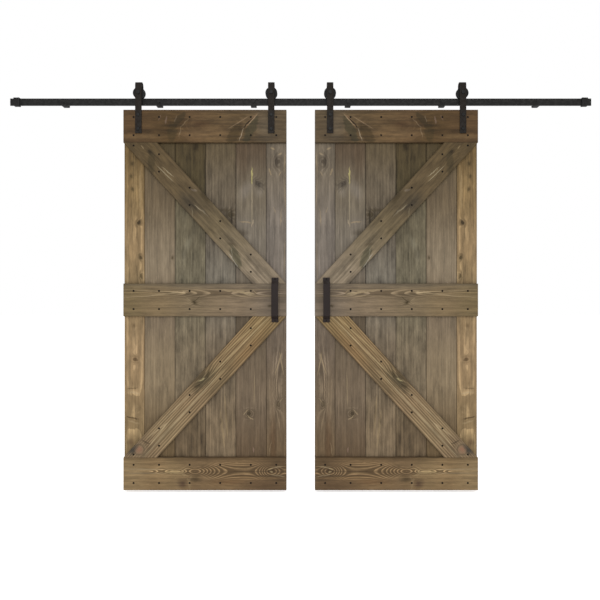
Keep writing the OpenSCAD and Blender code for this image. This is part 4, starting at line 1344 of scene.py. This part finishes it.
@dataclass
class WallTrack:
    """The flat bar on its spacers, with lag bolts, end stops and bumpers."""

    body: str = "track_frame"
    wall_y: float = 0.0
    bolt_pitch: float = 0.533
    bolts: int = 6
    shank_r: float = 4.75 * MM
    thread_r: float = 4.2 * MM
    thread_depth: float = 0.55 * MM
    thread_pitch: float = 3.6 * MM
    thread_foot: float = 0.3 * MM
    thread_steps: int = 14
    tip: float = 10 * MM
    flats: float = 14.3 * MM
    head_h: float = 6 * MM
    head_crown: float = 0.9 * MM
    washer_r: float = 11 * MM
    washer_t: float = 1.6 * MM
    slot_clear: float = 0.2 * MM
    screw_r: float = 3 * MM
    socket_r: float = 1.4 * MM
    socket_depth: float = 1.8 * MM

    def bolt_places(self) -> list[float]:
        """X of each lag bolt."""
        return [(i - (self.bolts - 1) / 2) * self.bolt_pitch for i in range(self.bolts)]

    def build(self) -> None:
        """Builds every piece of the track."""
        low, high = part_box("track")
        bar = Shape()
        bar.block(low, high, 0.7 * MM)
        publish(bar, "track_bar", self.body, BLACK_STEEL, "track")
        publish(self.spacers(), "track_spacers", self.body, BLACK_STEEL, "spacers")
        publish(self.lag_bolts(low.y), "track_lag_bolts", self.body, BLACK_BOLT, "lag_bolts")
        publish(self.washers(low.y), "track_washers", self.body, BLACK_BOLT, "lag_washers")
        clear = self.slot_clear
        slot = (low.y - clear, high.y + clear, low.z - clear, high.z + clear)
        for side in SIDES:
            for part, bevel, finish in (("stop", 1.2 * MM, BLACK_STEEL), ("bumper", 1.7 * MM, RUBBER)):
                shape = Shape()
                shape.frame_block(*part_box(f"{side}_{part}"), slot, bevel, 3)
                publish(shape, f"{side}_end_{part}", self.body, finish, f"{side}_{part}")
        publish(self.set_screws(), "stop_grub_screws", self.body, BLACK_BOLT, "stop_set_screws")

    def spacers(self) -> Shape:
        """The six blocks that hold the bar off the wall.

        Returns:
            Their mesh.
        """
        shape, (low, high) = Shape(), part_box("spacers")
        half = (high.x - low.x) / 2 - self.bolt_places()[-1]
        for x in self.bolt_places():
            shape.block((x - half, low.y, low.z), (x + half, high.y, high.z), 1.0 * MM)
        return shape

    def lag_bolts(self, face_y: float) -> Shape:
        """The lag bolts.

        Args:
            face_y: Y of the bar's front.

        Returns:
            Their mesh: heads, plain shanks and threads with a point.
        """
        shape, seat = Shape(), face_y - self.washer_t
        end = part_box("lag_bolts")[1].y
        root, start = self.thread_r - self.thread_depth / 2, self.wall_y
        sunk, taper, lead = 0.5 * MM, 0.8 * MM, 1.5 * MM
        for x in self.bolt_places():
            shape.hex_body(x, 0.0, seat - self.head_h, seat, self.flats, self.head_crown)
            shape.turned([(0.0, seat - sunk), (self.shank_r, seat - sunk), (self.shank_r, start),
                          (root, start + taper), (root, end - self.tip), (0.0, end)], x, 0.0, 20)
            self.thread(shape, x, start + lead, end - self.tip, root)
        return shape

    def thread(self, shape: Shape, x: float, y0: float, y1: float, root: float) -> None:
        """Winds one bolt's thread.

        Args:
            shape: The mesh it is added to.
            x: X of the bolt's axis.
            y0: Y where it begins.
            y1: Y where it ends.
            root: Radius of the core it is wound on.
        """
        turns = (y1 - y0) / self.thread_pitch
        steps = round(turns * self.thread_steps)
        foot, half = root - self.thread_foot, 0.5 * MM
        rows = ((foot, 0.0), (root + self.thread_depth, half), (foot, 2 * half))
        face = shape.bm.faces.new([shape.bm.verts.new((x + r, y0 + y, 0.0)) for r, y in rows])
        before = set(shape.bm.faces) - {face}
        bmesh.ops.spin(shape.bm, geom=[face], cent=(x, 0.0, 0.0), axis=(0.0, 1.0, 0.0),
                       dvec=(0.0, (y1 - y0) / steps, 0.0), angle=math.tau * turns, steps=steps, use_merge=False,
                       use_duplicate=False)
        bmesh.ops.recalc_face_normals(shape.bm, faces=[f for f in shape.bm.faces if f not in before])

    def washers(self, face_y: float) -> Shape:
        """The washers under the lag bolts' heads.

        Args:
            face_y: Y of the bar's front.

        Returns:
            Their mesh.
        """
        shape, r, t, e = Shape(), self.washer_r, self.washer_t, 0.3 * MM
        hole = self.shank_r + 0.1 * MM
        for x in self.bolt_places():
            shape.turned([(hole, face_y), (hole, face_y - t), (r - e, face_y - t), (r, face_y - t + e),
                          (r, face_y - e), (r - e, face_y)], x, 0.0, 36, closed=True)
        return shape

    def set_screws(self) -> Shape:
        """The socket screws that lock the stops.

        Returns:
            Their mesh.
        """
        shape, (low, high) = Shape(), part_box("stop_set_screws")
        side, floor, e = high.x - self.screw_r, low.y + self.socket_depth, 0.3 * MM
        for x in (-side, side):
            for z in (low.z + self.screw_r, high.z - self.screw_r):
                shape.turned([(self.socket_r, floor), (self.socket_r + 0.1 * MM, low.y), (self.screw_r - e, low.y),
                              (self.screw_r, low.y + e), (self.screw_r, high.y), (0.0, high.y)], x, z, 18)
                shape.turned([(0.0, floor), (self.socket_r, floor)], x, z, 18)
        bmesh.ops.remove_doubles(shape.bm, verts=shape.bm.verts, dist=1e-6)
        bmesh.ops.recalc_face_normals(shape.bm, faces=shape.bm.faces)
        return shape


@dataclass
class Hanger:
    """One bent strap with its wheel and bearing."""

    side: str
    end: str
    strap_t: float = 5 * MM
    back_drop: float = 21.5 * MM
    tread_r: float = 29.2 * MM
    groove: float = 8 * MM
    rim: float = 11 * MM
    rim_face: float = 5.5 * MM
    hub_face: float = 1.6 * MM
    dish: float = 0.8 * MM
    wheel_bore: float = 14.05 * MM
    bearing_bore: float = 6.1 * MM

    def build(self) -> None:
        """Builds the strap, wheel and bearing."""
        key = f"{self.side}_{self.end}"
        publish(self.strap(), f"{key}_bent_strap", f"{self.side}_door", STRAP_STEEL, f"{key}_strap")
        publish(self.wheel(), f"{key}_grooved_wheel", f"{key}_wheel_set", WHEEL_STEEL, f"{key}_wheel")
        publish(self.bearing(), f"{key}_ball_bearing", f"{key}_wheel_set", BEARING_STEEL, f"{key}_bearing")

    def strap(self) -> Shape:
        """The strap: up the door's front, over the wheel and down behind it.

        Returns:
            Its mesh.
        """
        low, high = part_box(f"{self.side}_{self.end}_strap")
        wheel_low, wheel_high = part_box(f"{self.side}_{self.end}_wheel")
        outer_r = (high.y - low.y) / 2
        bend_z = high.z - outer_r
        axle_z = (wheel_low.z + wheel_high.z) / 2
        shape = Shape()
        bar = FlatBar(shape, (low.x + high.x) / 2, high.x - low.x, back=Vector((0.0, low.y, low.z)),
                      front=Vector((0.0, low.y + self.strap_t, low.z)), heading=Vector((0.0, 0.0, 1.0)))
        bar.straight(bend_z - low.z)
        bar.bend(180.0, outer_r - self.strap_t, 20)
        bar.straight(bend_z - axle_z + self.back_drop)
        bmesh.ops.recalc_face_normals(shape.bm, faces=shape.bm.faces)
        shape.soften(shape.sharp(shape.bm.edges, 50.0), 0.7 * MM, 2)
        return shape

    def wheel(self) -> Shape:
        """The wheel: a deep groove between two flanges, with turned faces.

        Returns:
            Its mesh.
        """
        low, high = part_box(f"{self.side}_{self.end}_wheel")
        rim, half, bore = (high.z - low.z) / 2, (high.y - low.y) / 2, self.wheel_bore
        g, e, slant = self.groove / 2, 0.6 * MM, 0.2 * MM
        face = [(bore, half), (bore + self.hub_face, half), (bore + self.hub_face + self.dish, half - self.dish),
                (rim - self.rim_face, half - self.dish), (rim - self.rim_face + self.dish, half), (rim - e, half),
                (rim, half - e), (rim, self.rim / 2 + e), (rim - e, self.rim / 2 - slant),
                (self.tread_r + e, g + slant), (self.tread_r, g - e)]
        return two_faced(face, (low + high) / 2, 64)

    def bearing(self) -> Shape:
        """The bearing: two races with a sunk shield between them.

        Returns:
            Its mesh.
        """
        low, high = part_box(f"{self.side}_{self.end}_bearing")
        outer, half, inner = (high.z - low.z) / 2, (high.y - low.y) / 2, self.bearing_bore
        race, e, shield = (outer - inner) / 4, 0.3 * MM, half - self.dish
        face = [(inner, half - e), (inner + e, half), (inner + race, half), (inner + race, shield),
                (outer - race, shield), (outer - race, half), (outer - e, half), (outer, half - e)]
        return two_faced(face, (low + high) / 2, 48)


def two_faced(face: Sequence[tuple[float, float]], middle: Vector, steps: int) -> Shape:
    """A turned ring whose back mirrors its front.

    Args:
        face: Radii and distances from its middle plane, from the bore outwards.
        middle: Its middle.
        steps: Number of facets round it.

    Returns:
        Its mesh.
    """
    shape = Shape()
    outline = [(r, middle.y + d) for r, d in face] + [(r, middle.y - d) for r, d in reversed(face)]
    shape.turned(outline, middle.x, middle.z, steps, closed=True)
    return shape


@dataclass
class HangerBolts:
    """The bolts, nuts, washers and bushes of a door's two hangers."""

    side: str
    clear: float = 0.1 * MM
    bolt_r: float = 5 * MM
    bolt_flats: float = 16 * MM
    nut_h: float = 6 * MM
    washer_r: float = 12 * MM
    washer_t: float = 1.6 * MM
    axle_r: float = 6 * MM
    axle_flats: float = 19 * MM
    axle_nut_h: float = 8 * MM
    bush_r: float = 9 * MM
    bush_gap: float = 7.1 * MM

    def build(self) -> None:
        """Builds each kind of piece for both hangers at once."""
        shapes = {part: Shape() for part in ("strap_bolts", "strap_nuts", "axle_bolts", "axle_nuts", "axle_bushes")}
        for end in ENDS:
            strap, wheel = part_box(f"{self.side}_{end}_strap"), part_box(f"{self.side}_{end}_wheel")
            middle = (wheel[0] + wheel[1]) / 2
            middle.x = (strap[0].x + strap[1].x) / 2
            self.strap_fixings(shapes, middle.x, strap[0].y)
            self.axle(shapes, middle, strap[0].y, strap[1].y)
        for part, shape in shapes.items():
            finish = BUSH_STEEL if part == "axle_bushes" else BLACK_BOLT
            publish(shape, f"{self.side}_{part}_set", f"{self.side}_door", finish, f"{self.side}_{part}")

    def strap_fixings(self, shapes: dict[str, Shape], x: float, seat: float) -> None:
        """Adds the two bolts that hold a strap to the door, with a washer and nut behind each.

        Args:
            shapes: Meshes by the name of their CAD node without its side.
            x: X of the bolts.
            seat: Y of the strap's front.
        """
        low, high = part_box(f"{self.side}_strap_bolts")
        back, bore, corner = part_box(f"{self.side}_plank_1")[1].y, self.bolt_r + self.clear, self.bolt_flats / 2
        nut_y = back + self.washer_t
        for z in (low.z + corner, high.z - corner):
            shapes["strap_bolts"].hex_body(x, z, low.y, seat, self.bolt_flats, 1.0 * MM)
            shapes["strap_bolts"].turned(shank(seat, high.y, self.bolt_r), x, z, 20)
            shapes["strap_nuts"].turned(washer(back, self.washer_t, bore, self.washer_r), x, z, 32, closed=True)
            shapes["strap_nuts"].nut(x, z, nut_y, nut_y + self.nut_h, self.bolt_flats, bore)

    def axle(self, shapes: dict[str, Shape], middle: Vector, seat: float, back: float) -> None:
        """Adds a wheel's axle bolt with its nut and the bushes beside the bearing.

        Args:
            shapes: Meshes by the name of their CAD node without its side.
            middle: Middle of the wheel.
            seat: Y of the strap's front.
            back: Y of the strap's back.
        """
        x, z, bore = middle.x, middle.z, self.axle_r + self.clear
        low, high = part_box(f"{self.side}_axle_bolts")
        shapes["axle_bolts"].hex_body(x, z, low.y, seat, self.axle_flats, 1.2 * MM)
        shapes["axle_bolts"].turned(shank(seat, high.y, self.axle_r), x, z, 24)
        shapes["axle_nuts"].nut(x, z, back, back + self.axle_nut_h, self.axle_flats, bore)
        front, rear = (corner.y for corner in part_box(f"{self.side}_axle_bushes"))
        r, e = self.bush_r, 0.3 * MM
        for y0, y1 in ((front, middle.y - self.bush_gap), (middle.y + self.bush_gap, rear)):
            shapes["axle_bushes"].turned([(bore, y0), (r - e, y0), (r, y0 + e), (r, y1 - e), (r - e, y1), (bore, y1)],
                                         x, z, 32, closed=True)


@dataclass
class Pull:
    """A door pull bent from one flat bar, with a pan-head screw in each foot."""

    side: str
    thickness: float = 5 * MM
    foot: float = 15 * MM
    angle: float = 60.0
    bend_r: float = 4 * MM
    head_r: float = 4 * MM
    head_h: float = 2.4 * MM
    flat_r: float = 3 * MM
    recess: float = 1.2 * MM
    shank_r: float = 2.5 * MM
    tip: float = 2 * MM

    def build(self, door_y: float) -> None:
        """Builds the pull and its screws.

        Args:
            door_y: Y of the rails' front.
        """
        body = f"{self.side}_door"
        low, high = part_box(f"{self.side}_pull")
        mid_r = self.bend_r + self.thickness / 2
        swing = math.radians(self.angle)
        slope = ((high.y - low.y) - self.thickness - 2 * mid_r * (1 - math.cos(swing))) / math.sin(swing)
        grip = (high.z - low.z) - 2 * (self.foot + 2 * mid_r * math.sin(swing) + slope * math.cos(swing))
        shape = Shape()
        bar = FlatBar(shape, (low.x + high.x) / 2, high.x - low.x, back=Vector((0.0, door_y, low.z)),
                      front=Vector((0.0, door_y - self.thickness, low.z)), heading=Vector((0.0, 0.0, 1.0)))
        for length, bend in ((self.foot, self.angle), (slope, -self.angle), (grip, -self.angle),
                             (slope, self.angle), (self.foot, 0.0)):
            bar.straight(length)
            if bend:
                bar.bend(bend, self.bend_r, 8)
        bmesh.ops.recalc_face_normals(shape.bm, faces=shape.bm.faces)
        shape.soften(shape.sharp(shape.bm.edges, 50.0), 0.8 * MM, 3)
        publish(shape, f"{self.side}_door_pull", body, PULL_STEEL, f"{self.side}_pull")
        publish(self.screws(), f"{self.side}_pull_pan_screws", body, WOOD_SCREW, f"{self.side}_pull_screws")

    def screws(self) -> Shape:
        """The pull's screws, each with a star recess in its head.

        Returns:
            Their mesh.
        """
        shape, (low, high) = Shape(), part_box(f"{self.side}_pull_screws")
        x, y, seat = (low.x + high.x) / 2, low.y, low.y + self.head_h
        for z in (low.z + self.head_r, high.z - self.head_r):
            shape.drive(x, z, y, self.flat_r, self.recess, 6)
            shape.turned([(self.flat_r, y), (self.head_r - 0.25 * MM, y + 0.35 * MM), (self.head_r, y + 1 * MM),
                          (self.head_r, seat), (self.shank_r, seat), (self.shank_r, high.y - self.tip),
                          (0.0, high.y)], x, z, 12)
        bmesh.ops.remove_doubles(shape.bm, verts=shape.bm.verts, dist=1e-5)
        return shape


@dataclass
class Door:
    """One door: its boards, screws, hangers and pull."""

    frame: dict
    side: str
    woods: dict[str, bpy.types.Material]
    plank_edges: tuple[float, ...] = (0.0, 0.114, 0.2855, 0.457, 0.6285, 0.8, 0.914)
    rail_pitch: float = 0.102
    brace_pitch: float = 0.097
    brace_end: float = 17 * MM
    brace_w: float = 0.14
    screw_r: float = 6 * MM
    screw_head: float = 4 * MM
    screw_sunk: float = 0.5 * MM
    screw_edge: float = 0.2 * MM
    screw_shank: float = 2.2 * MM
    screw_tip: float = 2 * MM
    recess: float = 1.6 * MM

    @property
    def sign(self) -> int:
        """Direction of this door from the middle of the track."""
        return -1 if self.side == "left" else 1

    def build(self) -> None:
        """Builds and dresses the door's pieces."""
        for part, wood in self.woods.items():
            dress(self.frame, f"{self.side}_{part}", wood)
        publish(self.board_screws(), f"{self.side}_face_screws", f"{self.side}_door", WOOD_SCREW,
                f"{self.side}_board_screws")
        for end in ENDS:
            Hanger(self.side, end).build()
        Pull(self.side).build(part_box(f"{self.side}_middle_rail")[0].y)
        HangerBolts(self.side).build()

    def screw_places(self) -> list[tuple[float, float]]:
        """Places of the board screws.

        Returns:
            Distance from the track's middle and Z of each.
        """
        rails = [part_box(f"right_{name}_rail") for name in ("top", "middle", "bottom")]
        inner = rails[0][0].x
        mids = [inner + (a + b) / 2 for a, b in zip(self.plank_edges, self.plank_edges[1:])]
        places = [(x, (low.z + high.z) / 2 + s * self.rail_pitch / 2) for low, high in rails for x in mids
                  for s in (-1, 1)]
        for name, up in (("upper", 1), ("lower", -1)):
            low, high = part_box(f"right_{name}_brace")
            height, width = high.z - low.z, self.plank_edges[-1]
            middle, slope = (low.z + high.z) / 2, math.tan(brace_angle(width, height, self.brace_w))
            for x in mids[1:-1]:
                centre = middle + up * (x - inner - width / 2) * slope
                places += [(x, centre - self.brace_pitch / 2), (x, centre + self.brace_pitch / 2)]
            places += [(mids[0], middle - up * (height / 2 - self.brace_end)),
                       (mids[-1], middle + up * (height / 2 - self.brace_end))]
        return places

    def board_screws(self) -> Shape:
        """The screws in the rails and braces, each with a star recess.

        Returns:
            Their mesh.
        """
        shape, (low, high) = Shape(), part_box(f"{self.side}_board_screws")
        face_y, face_r, r = low.y + self.screw_sunk, self.screw_r - self.screw_edge, self.screw_shank
        for away, z in self.screw_places():
            x = away * self.sign
            shape.drive(x, z, face_y, face_r, self.recess, 6)
            shape.turned([(face_r, face_y), (r, low.y + self.screw_head), (r, high.y - self.screw_tip),
                          (0.0, high.y)], x, z, 12)
        bmesh.ops.remove_doubles(shape.bm, verts=shape.bm.verts, dist=1e-5)
        return shape


def shank(y0: float, y1: float, radius: float) -> list[tuple[float, float]]:
    """Section of a bolt's shank.

    Args:
        y0: Y under its head.
        y1: Y of its end.
        radius: Its radius.

    Returns:
        Radii and Y places, with a chamfered end.
    """
    root, e = y0 - 1 * MM, 0.8 * MM
    return [(0.0, root), (radius, root), (radius, y1 - e), (radius - e, y1), (0.0, y1)]


def washer(y0: float, thickness: float, bore: float, radius: float) -> list[tuple[float, float]]:
    """Section of a washer.

    Args:
        y0: Y of the face it lies on.
        thickness: Its thickness.
        bore: Radius of its hole.
        radius: Its outer radius.

    Returns:
        Radii and Y places round the section.
    """
    y1, e = y0 + thickness, 0.3 * MM
    return [(bore, y0), (radius - e, y0), (radius, y0 + e), (radius, y1 - e), (radius - e, y1), (bore, y1)]


def brace_angle(width: float, height: float, board: float) -> float:
    """Slope of a brace whose edges run through two corners of its panel.

    Args:
        width: Width of the panel.
        height: Height of the panel.
        board: Width of the brace.

    Returns:
        The angle from level, in radians.
    """
    return math.atan2(height, width) + math.asin(board / math.hypot(width, height))


def board_woods() -> dict[str, bpy.types.Material]:
    """The material of each board, which both doors share.

    Returns:
        Materials by the board's name without its side.
    """
    woods = {}
    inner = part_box("right_top_rail")[0].x
    for number, (finish, start, end) in enumerate(zip(PLANKS, Door.plank_edges, Door.plank_edges[1:]), 1):
        low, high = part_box(f"right_plank_{number}")
        top = Vector((inner + (start + end) / 2, low.y, high.z))
        woods[f"plank_{number}"] = finish.material(top, math.radians(90), high.z - low.z, (end - start) / 2)
    for name, finish in (("top", TOP_RAIL), ("middle", MIDDLE_RAIL), ("bottom", BOTTOM_RAIL)):
        low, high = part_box(f"right_{name}_rail")
        end = Vector((low.x, low.y, (low.z + high.z) / 2))
        woods[f"{name}_rail"] = finish.material(end, 0.0, high.x - low.x, (high.z - low.z) / 2)
    for name, finish, up in (("upper", UPPER_BRACE, 1), ("lower", LOWER_BRACE, -1)):
        low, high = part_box(f"right_{name}_brace")
        slope = brace_angle(high.x - low.x, high.z - low.z, Door.brace_w)
        length = (high.z - low.z) / math.sin(slope)
        heading = Vector((-math.cos(slope), 0.0, -up * math.sin(slope)))
        end = (low + high) / 2 - heading * length / 2
        end.y = low.y
        woods[f"{name}_brace"] = finish.material(end, math.pi - up * slope, length, Door.brace_w / 2)
    return woods


@dataclass(frozen=True)
class Lamp:
    """A square soft lamp of the studio."""

    name: str
    place: tuple[float, float, float]
    size: float
    power: float


@dataclass
class Studio:
    """The floor, the lights and the camera."""

    middle: float
    front: float
    floor_gap: float = 14 * MM
    floor_size: float = 30.0
    floor_tone: float = 0.9
    floor_glow: float = 0.45
    surround: float = 1.0
    lamps: tuple[Lamp, ...] = (Lamp("key", (-0.9, -5.2, 1.6), 2.0, 90.0), Lamp("fill", (1.2, -5.4, 1.0), 2.4, 40.0))
    distance: float = 2.7
    lens: float = 28.9
    sensor: float = 36.0
    shift: float = -0.7 / 600

    def build(self, floor_z: float) -> None:
        """Lays the floor and sets lights and camera.

        Args:
            floor_z: Lowest Z of the object.
        """
        self.floor(floor_z - self.floor_gap)
        self.lights()
        self.camera()

    def floor(self, z: float) -> None:
        """Lays a plain pale floor.

        Args:
            z: Its height.
        """
        bm = bmesh.new()
        bmesh.ops.create_grid(bm, x_segments=1, y_segments=1, size=self.floor_size,
                              matrix=Matrix.Translation((0.0, 0.0, z)))
        mesh = bpy.data.meshes.new("studio_floor")
        bm.to_mesh(mesh)
        bm.free()
        made, _wiring, shader = new_material("pale_floor")
        shader.inputs["Base Color"].default_value = stain(*[self.floor_tone] * 3)
        shader.inputs["Roughness"].default_value = 0.9
        shader.inputs["Specular IOR Level"].default_value = 0.0
        shader.inputs["Emission Color"].default_value = stain(1.0, 1.0, 1.0)
        shader.inputs["Emission Strength"].default_value = self.floor_glow
        mesh.materials.append(made)
        floor = bpy.data.objects.new("studio_floor", mesh)
        bpy.context.scene.collection.objects.link(floor)
        floor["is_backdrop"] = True

    def lights(self) -> None:
        """Sets an even white surround and two soft lamps above the camera."""
        scene = bpy.context.scene
        world = bpy.data.worlds.new("studio_surround")
        world.use_nodes = True
        background = world.node_tree.nodes["Background"]
        background.inputs["Color"].default_value = stain(1.0, 1.0, 1.0)
        background.inputs["Strength"].default_value = self.surround
        scene.world = world
        scene.view_settings.view_transform = "Standard"
        target = Vector((0.0, self.front, self.middle))
        for lamp in self.lamps:
            light = bpy.data.lights.new(f"{lamp.name}_lamp", "AREA")
            light.size, light.energy = lamp.size, lamp.power
            made = bpy.data.objects.new(f"{lamp.name}_lamp", light)
            made.location = lamp.place
            made.rotation_euler = (target - Vector(lamp.place)).to_track_quat("-Z", "Y").to_euler()
            scene.collection.objects.link(made)

    def camera(self) -> None:
        """Sets a level camera in front of the doors' middle."""
        lens = bpy.data.cameras.new("front_camera")
        lens.lens, lens.sensor_width, lens.shift_x = self.lens, self.sensor, self.shift
        made = bpy.data.objects.new("front_camera", lens)
        made.location = (0.0, self.front - self.distance, self.middle)
        made.rotation_euler = (math.radians(90), 0.0, 0.0)
        bpy.context.scene.collection.objects.link(made)
        bpy.context.scene.camera = made


def corners(bounds: Sequence[Sequence[float]]) -> list[list[float]]:
    """A box as plain lists of numbers."""
    return [[float(number) for number in corner] for corner in bounds]


def main() -> None:
    """Builds the doors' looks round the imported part."""
    logging.basicConfig(level=logging.INFO, format="%(name)s: %(message)s")
    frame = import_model()
    packed = corners(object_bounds())
    woods = board_woods()
    WallTrack().build()
    for side in SIDES:
        Door(frame, side, woods).build()
    low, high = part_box("right_middle_rail")
    Studio((low.z + high.z) / 2, low.y).build(packed[0][2])


if __name__ == "__main__":
    main()
